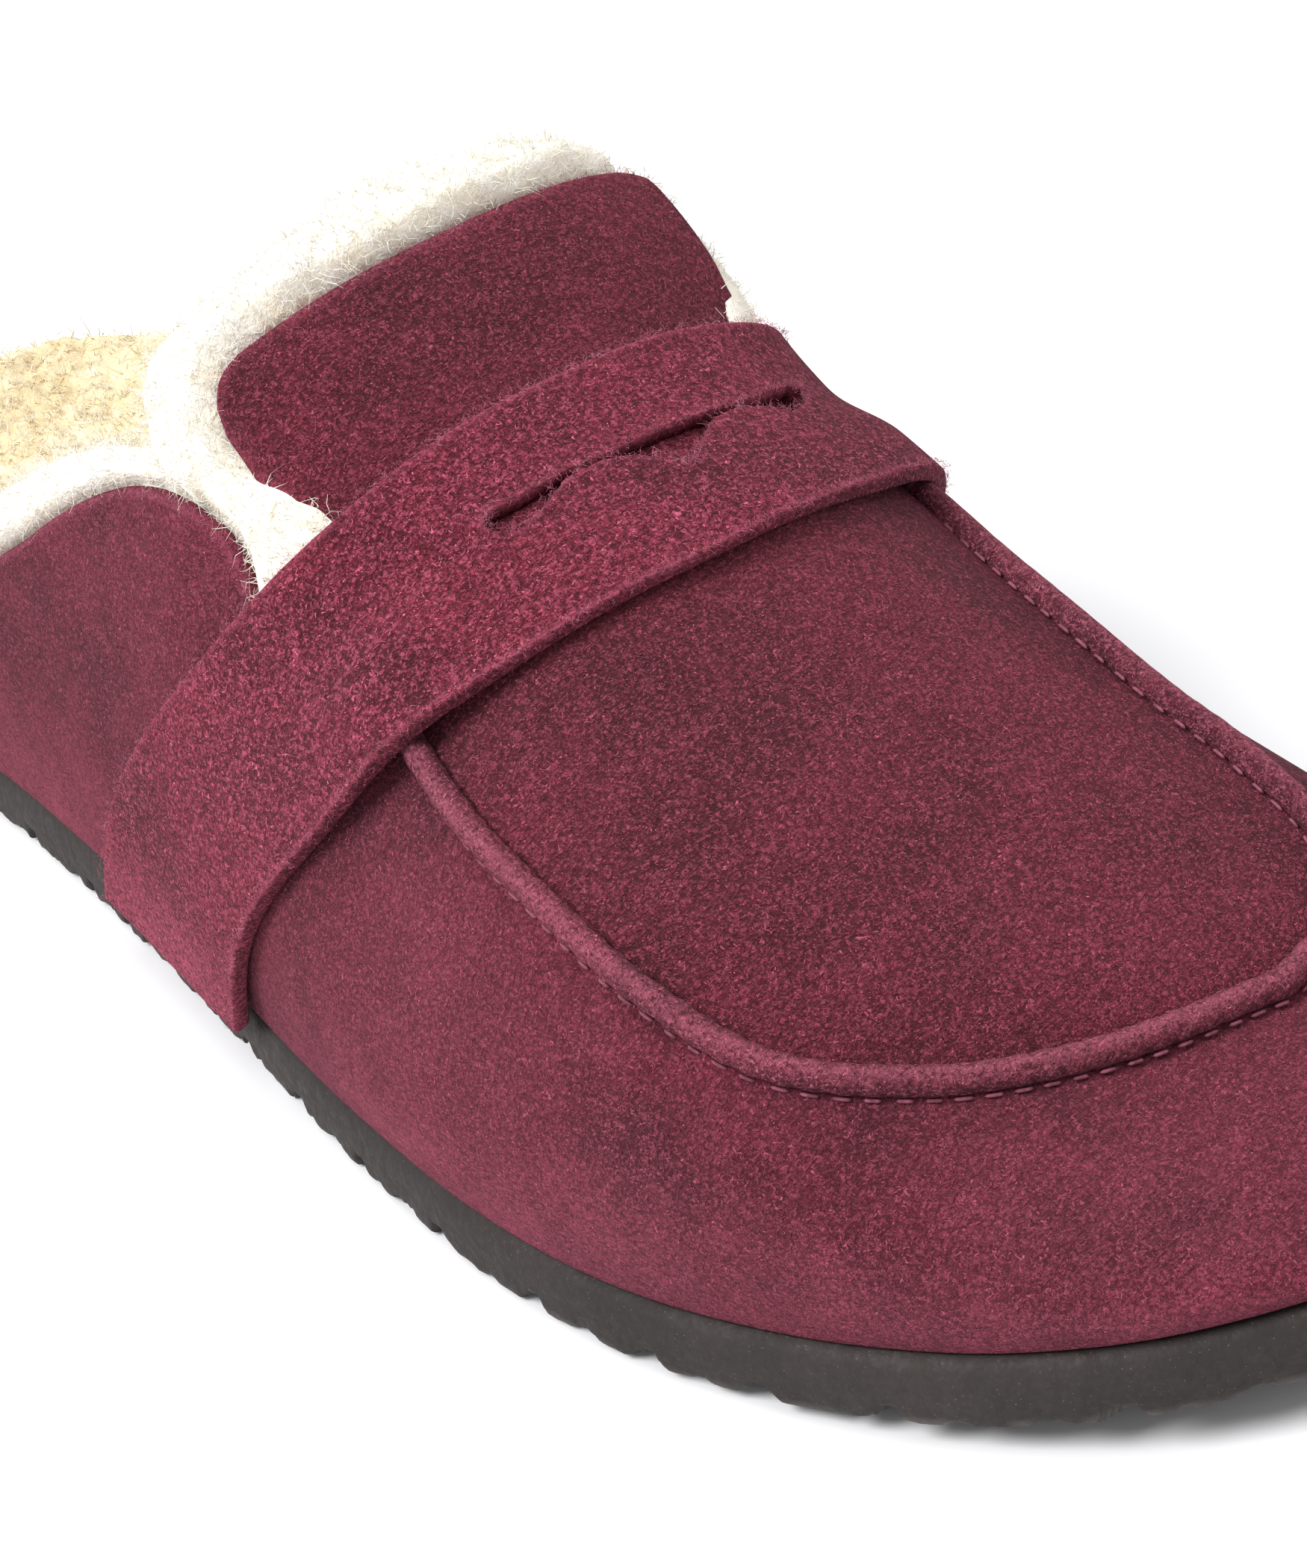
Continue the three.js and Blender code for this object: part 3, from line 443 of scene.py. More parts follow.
# ---------------------------------------------------------------------------
# materials
# ---------------------------------------------------------------------------
class Nodes:
    def __init__(self, name):
        self.mat = bpy.data.materials.new(name)
        self.mat.use_nodes = True
        self.t = self.mat.node_tree
        self.t.nodes.clear()
        self.out = self.t.nodes.new("ShaderNodeOutputMaterial")
        self.bsdf = self.t.nodes.new("ShaderNodeBsdfPrincipled")
        self.t.links.new(self.bsdf.outputs[0], self.out.inputs[0])
        self.co = self.t.nodes.new("ShaderNodeTexCoord").outputs["Object"]

    def link(self, a, b):
        self.t.links.new(a, b)

    def mapped(self, scale=(1, 1, 1), rot=(0, 0, 0), src=None):
        m = self.t.nodes.new("ShaderNodeMapping")
        m.inputs["Scale"].default_value = scale
        m.inputs["Rotation"].default_value = rot
        self.link(src or self.co, m.inputs["Vector"])
        return m.outputs[0]

    def noise(self, scale, detail=3, rough=0.55, distort=0.0, src=None):
        n = self.t.nodes.new("ShaderNodeTexNoise")
        n.inputs["Scale"].default_value = scale
        n.inputs["Detail"].default_value = detail
        n.inputs["Roughness"].default_value = rough
        n.inputs["Distortion"].default_value = distort
        self.link(src or self.co, n.inputs["Vector"])
        return n.outputs[0]

    def voronoi(self, scale, feature="F1", src=None):
        n = self.t.nodes.new("ShaderNodeTexVoronoi")
        n.feature = feature
        n.inputs["Scale"].default_value = scale
        self.link(src or self.co, n.inputs["Vector"])
        return n.outputs["Distance"]

    def ramp(self, src, lo, hi, a=0.0, b=1.0):
        n = self.t.nodes.new("ShaderNodeMapRange")
        n.interpolation_type = "SMOOTHSTEP"
        n.inputs["From Min"].default_value = lo
        n.inputs["From Max"].default_value = hi
        n.inputs["To Min"].default_value = a
        n.inputs["To Max"].default_value = b
        self.link(src, n.inputs["Value"])
        return n.outputs[0]

    def math(self, op, a, b=None):
        n = self.t.nodes.new("ShaderNodeMath")
        n.operation = op
        for i, x in enumerate((a, b)):
            if x is None:
                continue
            if isinstance(x, (int, float)):
                n.inputs[i].default_value = x
            else:
                self.link(x, n.inputs[i])
        return n.outputs[0]

    def mix(self, fac, a, b, kind="MIX"):
        n = self.t.nodes.new("ShaderNodeMix")
        n.data_type = "RGBA"
        n.blend_type = kind
        n.clamp_factor = True
        if isinstance(fac, (int, float)):
            n.inputs[0].default_value = fac
        else:
            self.link(fac, n.inputs[0])
        for i, x in ((6, a), (7, b)):
            if isinstance(x, tuple):
                n.inputs[i].default_value = (*x, 1.0)
            else:
                self.link(x, n.inputs[i])
        return n.outputs[2]

    def attr(self, name):
        n = self.t.nodes.new("ShaderNodeAttribute")
        n.attribute_name = name
        return n.outputs["Fac"]

    def bump(self, height, strength, distance, normal=None):
        n = self.t.nodes.new("ShaderNodeBump")
        n.inputs["Strength"].default_value = strength
        n.inputs["Distance"].default_value = distance
        self.link(height, n.inputs["Height"])
        if normal is not None:
            self.link(normal, n.inputs["Normal"])
        return n.outputs[0]

    def set(self, **kw):
        for k, v in kw.items():
            self.bsdf.inputs[k.replace("_", " ")].default_value = v


def srgb(r, g, b):
    f = lambda c: (c / 255 / 12.92) if c / 255 <= 0.04045 else ((c / 255 + 0.055) / 1.055) ** 2.4
    return (f(r), f(g), f(b))


def suede(name, base, dark, light, pale_nap_and_highlight, cloud=0.5, grain=1.0, worn=0.75, napscale=1.0):
    m = Nodes(name)
    big = m.noise(30, 3, 0.5, 0.8)
    mid = m.noise(95, 4, 0.6, 0.4)
    small = m.noise(420, 3, 0.6, 0.2)
    # fine nap: short fibres lying in changing directions
    nap1 = m.noise(2250 * napscale, 3, 0.7, 1.0, m.mapped((1, 0.5, 1), (0.3, 0.2, 0.7)))
    nap2 = m.noise(2700 * napscale, 3, 0.7, 0.8, m.mapped((0.5, 1, 0.8), (0.1, 0.5, -0.4)))
    pit = m.noise(1650 * napscale, 3, 0.75, 0.3)
    rub_and_painted_highlight = m.attr("rub_and_painted_highlight")
    col = m.mix(m.ramp(big, 0.40, 0.60), tuple(c * 0.9 for c in dark), base)
    col = m.mix(m.math("MULTIPLY", m.ramp(mid, 0.42, 0.70), cloud), col, light)
    # painted highlight, partly brushed nap: pale pink low on the wall, most on the outer side
    col = m.mix(m.math("MULTIPLY", rub_and_painted_highlight, m.ramp(mid, 0.28, 0.62, 0.6, 1.0)), col, tuple(0.15 * x + 0.85 * y for x, y in zip(light, pale_nap_and_highlight)))
    col = m.mix(m.math("MULTIPLY", m.ramp(small, 0.38, 0.7), 0.35 * grain), col, dark)
    nap = m.math("MULTIPLY", nap1, nap2)
    col = m.mix(m.math("MULTIPLY", m.ramp(nap, 0.245, 0.34), 0.60 * grain), col, pale_nap_and_highlight)
    col = m.mix(m.math("MULTIPLY", m.ramp(nap, 0.262, 0.17), 0.72 * grain), col, tuple(c * 0.36 for c in dark))
    col = m.mix(m.math("MULTIPLY", m.ramp(pit, 0.46, 0.34), 0.55 * grain), col, tuple(c * 0.45 for c in dark))
    hair = m.ramp(m.noise(1250 * napscale, 2, 0.5, 2.6), 0.63, 0.69)
    col = m.mix(m.math("MULTIPLY", hair, 0.8 * grain), col, tuple(min(1, c * 1.35 + 0.02) for c in pale_nap_and_highlight))
    edge = m.attr("wear")
    col = m.mix(m.math("MULTIPLY", edge, m.ramp(pit, 0.35, 0.6, 0.1 * worn, worn)), col, pale_nap_and_highlight)
    m.link(col, m.bsdf.inputs["Base Color"])
    b1 = m.bump(nap, 1.0, 0.0022)
    b2 = m.bump(small, 0.45, 0.0008, b1)
    b3 = m.bump(mid, 0.35, 0.0012, b2)
    m.link(b3, m.bsdf.inputs["Normal"])
    m.link(m.ramp(nap, 0.15, 0.45, 0.98, 0.86), m.bsdf.inputs["Roughness"])
    m.bsdf.inputs["Specular IOR Level"].default_value = 0.12
    m.bsdf.inputs["Sheen Weight"].default_value = 0.14
    m.bsdf.inputs["Sheen Roughness"].default_value = 0.45
    m.bsdf.inputs["Sheen Tint"].default_value = (0.95, 0.45, 0.58, 1)
    return m.mat


# the pale nap colour also serves as the painted highlight low on the outer wall
BASE, DARK, LIGHT, PALE_NAP_AND_HIGHLIGHT = srgb(119, 38, 54), srgb(94, 30, 43), srgb(146, 55, 74), srgb(186, 87, 111)
MAT = {}
MAT["suede"] = suede("burgundy_suede", BASE, DARK, LIGHT, PALE_NAP_AND_HIGHLIGHT, cloud=0.6, grain=0.85)
MAT["plug"] = suede("burgundy_suede_apron", srgb(118, 37, 51), srgb(93, 29, 41), srgb(142, 51, 69), srgb(184, 83, 105), cloud=0.5, grain=1.05)
MAT["strap"] = suede("strap_suede", srgb(132, 37, 55), srgb(100, 28, 43), srgb(154, 52, 73), srgb(200, 92, 118), cloud=0.5, grain=1.2, worn=1.0, napscale=0.85)
# the bead's suede is a lighter copy of the body suede: painted highlight on the raised seam
MAT["ridge"] = suede("ridge_suede_painted_highlight", srgb(124, 43, 59), srgb(94, 31, 44), srgb(154, 64, 82), srgb(194, 102, 124), cloud=0.6, grain=1.2, worn=0.7)


def hair_material(name, a, b):
    m = Nodes(name)
    m.link(m.mix(m.ramp(m.noise(300, 2), 0.35, 0.65), a, b), m.bsdf.inputs["Base Color"])
    m.link(m.ramp(m.noise(900, 2), 0.3, 0.7, 0.8, 0.95), m.bsdf.inputs["Roughness"])
    m.bsdf.inputs["Specular IOR Level"].default_value = 0.15
    m.bsdf.inputs["Sheen Weight"].default_value = 0.2
    return m.mat


MAT["fuzz"] = hair_material("suede_fuzz", srgb(150, 66, 88), srgb(186, 104, 128))


def shearling(name, white, cream, deep, lumps=1.0):
    m = Nodes(name)
    n1 = m.noise(110, 4, 0.6, 0.8)
    n2 = m.noise(420, 3, 0.6, 1.0)
    n3 = m.noise(1500, 2, 0.6, 1.5, m.mapped((1, 0.4, 0.7), (0.4, 0.1, 0.9)))
    col = m.mix(m.ramp(n1, 0.38, 0.66), cream, white)
    # painted shade, partly creamier roots: the deep colour goes into the pile's hollows and beside the leather
    low = m.attr("root_tint_and_painted_shade")
    col = m.mix(m.math("MULTIPLY", low, m.ramp(n2, 0.25, 0.6, 0.45, 1.0)), col, deep)
    col = m.mix(m.ramp(n3, 0.62, 0.74, 0.0, 0.35), col, tuple(c * 0.86 for c in cream))
    m.link(col, m.bsdf.inputs["Base Color"])
    b = m.bump(n3, 0.55, 0.0006)
    b = m.bump(n2, 0.5, 0.0012, b)
    m.link(b, m.bsdf.inputs["Normal"])
    m.link(m.ramp(n2, 0.3, 0.7, 0.92, 1.0), m.bsdf.inputs["Roughness"])
    m.bsdf.inputs["Specular IOR Level"].default_value = 0.05
    m.bsdf.inputs["Sheen Weight"].default_value = 0.35
    m.bsdf.inputs["Sheen Roughness"].default_value = 0.6
    m.bsdf.inputs["Subsurface Weight"].default_value = 0.25
    m.bsdf.inputs["Subsurface Radius"].default_value = (0.004, 0.0035, 0.0028)
    m.bsdf.inputs["Subsurface Scale"].default_value = 0.6
    return m.mat


MAT["fleece"] = shearling("shearling_pile", srgb(246, 243, 237), srgb(240, 234, 220), srgb(232, 217, 186))
MAT["sock"] = shearling("shearling_sock_pile", srgb(240, 230, 206), srgb(232, 218, 184), srgb(212, 188, 138))


def eva():
    m = Nodes("eva_foam")
    n1 = m.noise(60, 3)
    n2 = m.noise(900, 3, 0.6)
    pores = m.voronoi(1500)
    col = m.mix(m.ramp(n1, 0.35, 0.65), srgb(38, 33, 31), srgb(48, 42, 40))
    col = m.mix(m.ramp(n2, 0.58, 0.8, 0, 0.4), col, srgb(78, 70, 65))
    col = m.mix(m.ramp(pores, 0.12, 0.03, 0, 0.8), col, srgb(128, 116, 102))
    col = m.mix(m.ramp(pores, 0.42, 0.6, 0, 0.35), col, srgb(40, 35, 33))
    col = m.mix(m.math("MULTIPLY", m.attr("wear"), 0.4), col, srgb(120, 112, 106))
    m.link(col, m.bsdf.inputs["Base Color"])
    b = m.bump(n2, 0.5, 0.0004)
    b = m.bump(m.noise(240, 3), 0.3, 0.0008, b)
    m.link(b, m.bsdf.inputs["Normal"])
    m.link(m.ramp(n2, 0.3, 0.7, 0.62, 0.8), m.bsdf.inputs["Roughness"])
    m.bsdf.inputs["Specular IOR Level"].default_value = 0.35
    return m.mat


MAT["eva"] = eva()


def plainish(name, a, b, scale, rough, bump_d, grain_scale):
    m = Nodes(name)
    n1 = m.noise(scale, 4, 0.6, 0.3)
    n2 = m.noise(grain_scale, 3, 0.6)
    m.link(m.mix(m.ramp(n1, 0.35, 0.65), a, b), m.bsdf.inputs["Base Color"])
    m.link(m.bump(n2, 0.6, bump_d), m.bsdf.inputs["Normal"])
    m.link(m.ramp(n2, 0.3, 0.7, rough - 0.08, rough + 0.04), m.bsdf.inputs["Roughness"])
    return m


MAT["cork"] = plainish("cork_granules", srgb(150, 110, 70), srgb(196, 156, 108), 260, 0.88, 0.0006, 700).mat
MAT["thread"] = plainish("sewing_thread", srgb(98, 42, 57), srgb(134, 70, 89), 700, 0.75, 0.0002, 2600).mat
MAT["stiffener"] = plainish("stiffener_felt", srgb(196, 186, 166), srgb(214, 206, 188), 300, 0.9, 0.0003, 1500).mat


def jute():
    m = Nodes("jute_weave")
    w1 = m.t.nodes.new("ShaderNodeTexWave")
    w1.inputs["Scale"].default_value = 260
    w1.inputs["Distortion"].default_value = 1.5
    m.link(m.co, w1.inputs["Vector"])
    w2 = m.t.nodes.new("ShaderNodeTexWave")
    w2.bands_direction = "Y"
    w2.inputs["Scale"].default_value = 260
    w2.inputs["Distortion"].default_value = 1.5
    m.link(m.co, w2.inputs["Vector"])
    k = m.math("MULTIPLY", w1.outputs["Fac"], w2.outputs["Fac"])
    m.link(m.mix(k, srgb(140, 110, 66), srgb(206, 178, 128)), m.bsdf.inputs["Base Color"])
    m.link(m.bump(k, 0.6, 0.0005), m.bsdf.inputs["Normal"])
    m.link(m.ramp(k, 0, 1, 0.95, 0.85), m.bsdf.inputs["Roughness"])
    return m.mat


MAT["jute"] = jute()


def wear(ob, mat, slot, *nodes):
    ob.data.materials.clear()
    ob.data.materials.append(mat)
    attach(ob, "root")
    if nodes:
        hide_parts(*nodes)
    return ob


# ---------------------------------------------------------------------------
# helpers on the surface
# ---------------------------------------------------------------------------
def height_to_v(side, r, z):
    r, z = np.broadcast_arrays(np.asarray(r, float), np.asarray(z, float))
    lo, hi = np.zeros(r.shape), np.ones(r.shape)
    for _ in range(24):
        m = (lo + hi) / 2
        below = wall(side, r, m)[0][..., 2] < z
        lo, hi = np.where(below, m, lo), np.where(below, hi, m)
    return (lo + hi) / 2


CORK = [[0, 8.5], [40, 8], [80, 10], [110, 10.5], [150, 8.5], [190, 6.2], [230, 4.6], [255, 3.4], [283, 3]]
EDGE_RISE = [[0, 6.5], [40, 6.5], [90, 5], [130, 2.6], [190, 1.2], [230, 0], [255, -1.2], [283, -1.6]]


def arch_rise(x, t):
    return np.where(x > 8, 4.5 * np.exp(-(((t - 105) / 32) ** 2)) * (np.maximum(x - 8, 0) / 26) ** 1.5, 0)


def cork_top(x, t, e):
    rise = smooth(EDGE_RISE, 1, t) * np.exp(-((np.maximum(0, e) / 11) ** 1.6))
    return SOLE_T + lift(t) + GAP + JUTE + GAP + smooth(CORK, 1, t) + rise + arch_rise(x, t)


def bed_top(x, t, e):
    return cork_top(x, t, e) + 2 * BED_GAP + JUTE


def bed_inset(t):
    return lin(2.6, 4.2, step(t, 180, 235)) + lin(0, 5, step(t, 245, 280))


def lining_foot(side, r):
    fx, ft, _, _ = feather(side, r)
    need = (SOLE_T + lift(ft) + GAP + JUTE + GAP + smooth(CORK, 1, ft) + smooth(EDGE_RISE, 1, ft) + JUTE + 2 * BED_GAP
            + arch_rise(fx, ft) + lin(1, 2.4, step(ft, 190, 235)) + 1.4 * step(ft, 262, 280))
    lo, hi = np.zeros(np.shape(r)), np.full(np.shape(r), 0.8)
    for _ in range(24):
        m = (lo + hi) / 2
        below = wall(side, r, m)[0][..., 2] < need
        lo, hi = np.where(below, m, lo), np.where(below, hi, m)
    return hi


def foot_around(q, r):
    return np.where(q <= 1, lining_foot(-1, r), lining_foot(1, r))


def swell(P, size, amount, seed):
    """Slow unevenness of a hand lasted upper."""
    return fbm(P, size, 2, seed)[..., None] * amount


def off(s, d, size=22, amount=0.22, seed=3):
    p, n = s
    return p + n * (d + fbm(p, size, 2, seed) * amount)[..., None]


def lining_depth(r):
    return lin(SHEARLING, 1.6, step(r, 200, 255))


# ---------------------------------------------------------------------------
# outsole
# ---------------------------------------------------------------------------
_mid_t = np.linspace(0, 283, 200)
_mid_x = (np.interp(_mid_t, ring[: TIP + 1, 1], ring[: TIP + 1, 0])
          + np.interp(_mid_t, np.r_[ring[TIP:, 1], ring[0, 1]][::-1], np.r_[ring[TIP:, 0], ring[0, 0]][::-1])) / 2


def spine(t):
    tc = np.clip(t, 42, 232)
    return np.interp(tc, _mid_t, _mid_x), tc


def groove(x, t):
    g = 0
    for i in range(17):
        c = 14 + i * 15.6 + 2.2 * np.sin(((x + 62) / 124) * math.pi * 4 + i)
        g = np.maximum(g, 1 - step(np.abs(t - c), 0.95, 1.55))
    return g * 2.2


def make_outsole():
    k = np.arange(RING_N)
    x, t, ox, ot = ring_at(k)
    seg = np.hypot(*(np.roll(ring, -1, 0) - ring).T)
    s = np.r_[0, np.cumsum(seg)[:-1]]
    total = seg.sum()
    notch = np.zeros(RING_N)
    pos = 1.0
    g = np.random.default_rng(11)
    while pos < total - 2:
        w, d = g.uniform(0.7, 2.6), g.uniform(0.45, 1.6)
        ds = np.minimum(np.abs(s - pos), total - np.abs(s - pos))
        notch = np.maximum(notch, d * np.exp(-((ds / w) ** 4)) * (1 + 0.25 * np.sin(ds * 5 + pos)))
        pos += w + g.uniform(3.4, 9.0)
    cx, ct = spine(t)
    rows = []

    def put(ins, z, side_k):
        px, pt = x - ox * ins, t - ot * ins
        gr = groove(px, pt)
        up = np.maximum(gr, notch * side_k)
        zz = z + up * max(0.0, 1 - z / 4.2)
        rough = 0.14 * noise(np.stack([px, pt, np.full_like(px, z * 2)], -1), 1.3, 5) + 0.12 * noise(np.stack([px, pt, np.full_like(px, z)], -1), 6, 6)
        qx, qt = px + ox * rough, pt + ot * rough
        return np.stack([qx, qt, zz + lift(np.minimum(pt, 283.0))], -1)

    # tread, from the middle outwards
    for rho in np.linspace(0, 1, 34)[:-1]:
        ex, et = x - ox * 3.0, t - ot * 3.0
        px, pt = cx + (ex - cx) * rho, ct + (et - ct) * rho
        fine = 0.12 * noise(np.stack([px, pt, 0 * px], -1), 2.2, 8)
        rows.append(np.stack([px, pt, groove(px, pt) + lift(pt) + 0.12 + fine], -1))
    for ins, z, sk in ((3.0, 0.12, 0.15), (2.2, 0.1, 0.55), (1.5, 0.08, 0.9), (0.95, 0.1, 1), (0.5, 0.28, 1), (0.2, 0.6, 1), (0.04, 1.05, 1),
                       (-0.04, 1.7, 1), (-0.1, 2.5, 1), (-0.16, 3.4, 1), (-0.2, 4.4, 1), (-0.18, 5.4, 1), (-0.1, 6.3, 1), (0.0, 7.0, 1), (0.18, 7.6, 1),
                       (0.5, 8.15, 1), (0.95, 8.55, 1), (1.5, 8.8, 1), (2.3, 8.93, 1), (3.4, 8.95, 1), (5.5, 8.95, 1)):
        rows.append(put(ins, z, sk))
    for rho in (0.8, 0.5, 0.25, 0.0):
        ex, et = x - ox * 5.5, t - ot * 5.5
        px, pt = cx + (ex - cx) * rho, ct + (et - ct) * rho
        rows.append(np.stack([px, pt, lift(pt) + 8.9 + 0 * px], -1))
    V = np.stack(rows, 0)
    nr = V.shape[0]
    idx = np.arange(nr * RING_N).reshape(nr, RING_N)
    nx = np.roll(idx, -1, 1)
    quads = np.stack([idx[:-1], nx[:-1], nx[1:], idx[1:]], -1).reshape(-1, 4)
    # the innermost rows run along the spine, once on each side, and close on themselves
    V2, Q, T = weld(V.reshape(-1, 3), quads, 1e-3)
    ob = finish_piece("outsole_eva", V2, Q, T)
    zed = V2[:, 2] - lift(V2[:, 1])
    point_attr(ob, "wear", np.clip(1 - np.abs(zed - 0.7) / 0.9, 0, 1) * np.clip(noise(V2, 3.0, 4) * 1.2 + 0.3, 0, 1))
    return ob


outsole = wear(make_outsole(), MAT["eva"], "eva", "outsole")


# ---------------------------------------------------------------------------
# suede upper
# ---------------------------------------------------------------------------
def vamp_back(v):
    return lin(137.0, 156.5, v)


def vamp_at(d):
    def f(A, B):
        q = 2 * B
        r = around(q, vamp_back(A))
        return off(wall_around(q, vamp_back(A), 0.986 * A), d)
    return f


vamp = slab("vamp_wall_suede", np.linspace(0, 1, 60), np.linspace(0, 1, 440), vamp_at(0.0), vamp_at(-LEATHER), edge=3, inner_step=3)
wear(vamp, MAT["suede"], "suede", "vamp_wall")
_q = np.linspace(0, 2, 500)
seam_curve = wall_around(_q, 152.0, np.full_like(_q, 0.986))[0]
foot_curve = wall_around(_q, 137.0, np.full_like(_q, 0.0))[0]
_vv = np.linspace(0, 1, 60)
wear_from(vamp, [seam_curve, wall(-1, vamp_back(_vv), 0.986 * _vv)[0], wall(1, vamp_back(_vv), 0.986 * _vv)[0]], 0.5)

PLUG_BACK = 137.0


def plug_at(d):
    def f(A, B):
        u = A
        c = np.maximum(0, (np.abs(u) - 0.82) / 0.18)
        corner = 5 * (1 - np.sqrt(np.maximum(0, 1 - c * c)))
        r = lin(PLUG_BACK + 1.2 - 4.2 * u * u + corner, 300.0, np.where(B < 1, 1 - (1 - B) ** 1.25, 1.0))
        return off(arch(r, u * (1 + 0.05 * (1 - step(r, 143, 149.5)))), d, amount=0.25, seed=9)
    return f


plug = slab("plug_tongue_suede", np.linspace(-1, 1, 110), np.linspace(0, 1, 190), plug_at(0.0), plug_at(-LEATHER), edge=3, inner_step=3, cap1=False)
wear(plug, MAT["plug"], "suede", "plug_tongue")
_u = np.linspace(-1, 1, 300)
tongue_edge = plug_at(0.0)(_u, np.zeros_like(_u))
_b = np.linspace(0, 0.2, 120)
wear_from(plug, [tongue_edge, plug_at(0.0)(np.full_like(_b, -1.0), _b), plug_at(0.0)(np.full_like(_b, 1.0), _b)], 0.45)

QUARTER_BACK, QUARTER_FRONT, QUARTER_FOOT = 58.5, 151.2, 136.2
QUARTER_TOP = [[58.5, 27], [66, 31.5], [78, 40.5], [92, 49.6], [98, 53.4], [107, 59.6], [116, 65], [126, 69.1], [132, 70.2],
               [138, 69.7], [144, 66.8], [148, 62.7], [151.2, 57.5]]


def quarter_at(side, d):
    def f(A, B):
        r = lin(QUARTER_BACK, lin(QUARTER_FOOT, QUARTER_FRONT, np.minimum(1, A * 0.86)), B)
        v = A * height_to_v(side, r, smooth(QUARTER_TOP, 1, np.minimum(r, QUARTER_FRONT)))
        return off(wall(side, r, v), d, seed=5 + side)
    return f


quarters = []
quarter_edges = []
for side, word in ((-1, "lateral"), (1, "medial")):
    ob = slab(f"quarter_{word}_suede", np.linspace(0, 1, 56), np.linspace(0, 1, 110), quarter_at(side, 0.0), quarter_at(side, -LEATHER), edge=3, inner_step=3)
    wear(ob, MAT["suede"], "suede", f"quarter_{word}")
    bb = np.linspace(0, 1, 260)
    edge_line = quarter_at(side, 0.0)(np.ones_like(bb), bb)
    quarter_edges.append(edge_line)
    wear_from(ob, [edge_line], 0.5)
    quarters.append(ob)

# band round the heel
BAND_TOP, BAND_END = 25.6, 57.0
_k0, _k1 = float(index_at_t(-1, BAND_END)), float(index_at_t(1, BAND_END)) - RING_N


def band_at(d):
    def f(A, B):
        x, t, ox, ot = ring_at(lin(_k0, _k1, B))
        z = lin(SOLE_T + GAP, BAND_TOP, A)
        P = np.stack([x, t, z], -1)
        o = 1.0 * np.sin(math.pi * np.minimum(1, A * 1.1)) - d + 0.15 * fbm(P, 16, 2, 12)
        return np.stack([x + ox * o, t + ot * o, z], -1)
    return f


band = slab("heel_band_suede", np.linspace(0, 1, 26), np.linspace(0, 1, 200), band_at(0.0), band_at(LEATHER), edge=3, inner_step=2)
wear(band, MAT["suede"], "suede", "heel_band")
bb = np.linspace(0, 1, 300)
band_edge = band_at(0.0)(np.ones_like(bb), bb)
wear_from(band, [band_edge], 0.5)

# strap
STRAP_REAR = [[-2, 107.5], [-1.9, 111.8], [-1.8, 117.2], [-1.72, 123], [-1.62, 131], [-1.51, 138.6], [-1.38, 144.8],
    [-1.28, 148.4], [-1.18, 151], [-1.07, 153.2], [-0.95, 154.9], [-0.7, 156.3], [-0.4, 157], [0, 157.5], [0.4, 157],
    [0.7, 156.3], [0.95, 154.9], [1.07, 153.2], [1.18, 151], [1.28, 148.4], [1.38, 144.8], [1.51, 138.6], [1.62, 131],
    [1.72, 123], [1.8, 117.2], [1.9, 111.8], [2, 107.5]]
STRAP_FRONT = [[-2, 144], [-1.9, 147.6], [-1.8, 151.8], [-1.68, 156.5], [-1.57, 160.8], [-1.45, 165], [-1.32, 169],
    [-1.18, 172.6], [-1.04, 175.6], [-0.86, 178.6], [-0.6, 181.5], [-0.3, 183.7], [0, 184.5], [0.3, 183.7], [0.6,
    181.5], [0.86, 178.6], [1.04, 175.6], [1.18, 172.6], [1.32, 169], [1.45, 165], [1.57, 160.8], [1.68, 156.5], [1.8,
    151.8], [1.9, 147.6], [2, 144]]


def soften(G, sigma):
    """Gaussian smoothing of a grid of points along its rows."""
    n = int(3 * sigma)
    w = np.exp(-0.5 * (np.arange(-n, n + 1) / sigma) ** 2)
    w /= w.sum()
    pad = np.concatenate([2 * G[:1] - G[1:n + 1][::-1], G, 2 * G[-1:] - G[-n - 1:-1][::-1]], 0)
    return sum(w[i] * pad[i:i + len(G)] for i in range(2 * n + 1))


def strap_at(d, sigma=15.0):
    def f(A, B):
        r = lin(smooth(STRAP_REAR, 1, B), smooth(STRAP_FRONT, 1, B), A)
        clear = 1.2 + 3.8 * np.exp(-(((np.abs(B) - 1) / 0.16) ** 2)) * step(A, 0.3, 0.75)
        P = off(arch(r, B), clear + d, size=16, amount=0.22, seed=21)
        return soften(P, sigma) if P.ndim == 3 and sigma else P
    return f


strap = slab("penny_strap_suede", np.linspace(0, 1, 64), np.linspace(-2, 2, 420), strap_at(STRAP_T), strap_at(0.0), edge=4, inner_step=2, round_=0.22)

# the keeper slot
SLOT = [(-20.2, 1.9), (-21.6, 0.9), (-21.4, -0.3), (-20.5, -1.5), (-19.1, -2.3), (-16.9, -2.0), (-15.2, -1.6), (-12.7, -0.6), (-10.4, -0.1),
        (-8.1, -0.3), (-5.6, -0.9), (-3.3, -1.9), (-1.4, -3.4), (-0.1, -4.5), (0.6, -5.7), (1.8, -5.7), (3.4, -4.9), (5.5, -3.3), (8.2, -1.6),
        (11.5, -0.55), (14.3, -0.35), (17.5, -0.7), (19.1, -1.6), (20.5, -2.0), (24.6, 0.0), (26.1, 2.3), (25.2, 3.2), (21.4, 2.2), (15.2, 0.8),
        (7.5, 0.2), (1.3, 0.15), (-5.2, 0.15), (-10.2, 0.75), (-15.7, 1.1)]
_c = apron(np.array(169.0), np.array(0.06))
_c = (_c[0] + _c[1] * 3.0, _c[1])
_up = unit(np.array([0, _c[1][1], _c[1][2]]))
_Y = unit(np.array([0.0, -_up[2], _up[1]]))  # up the slope, towards the ankle, in the shoe's own axes


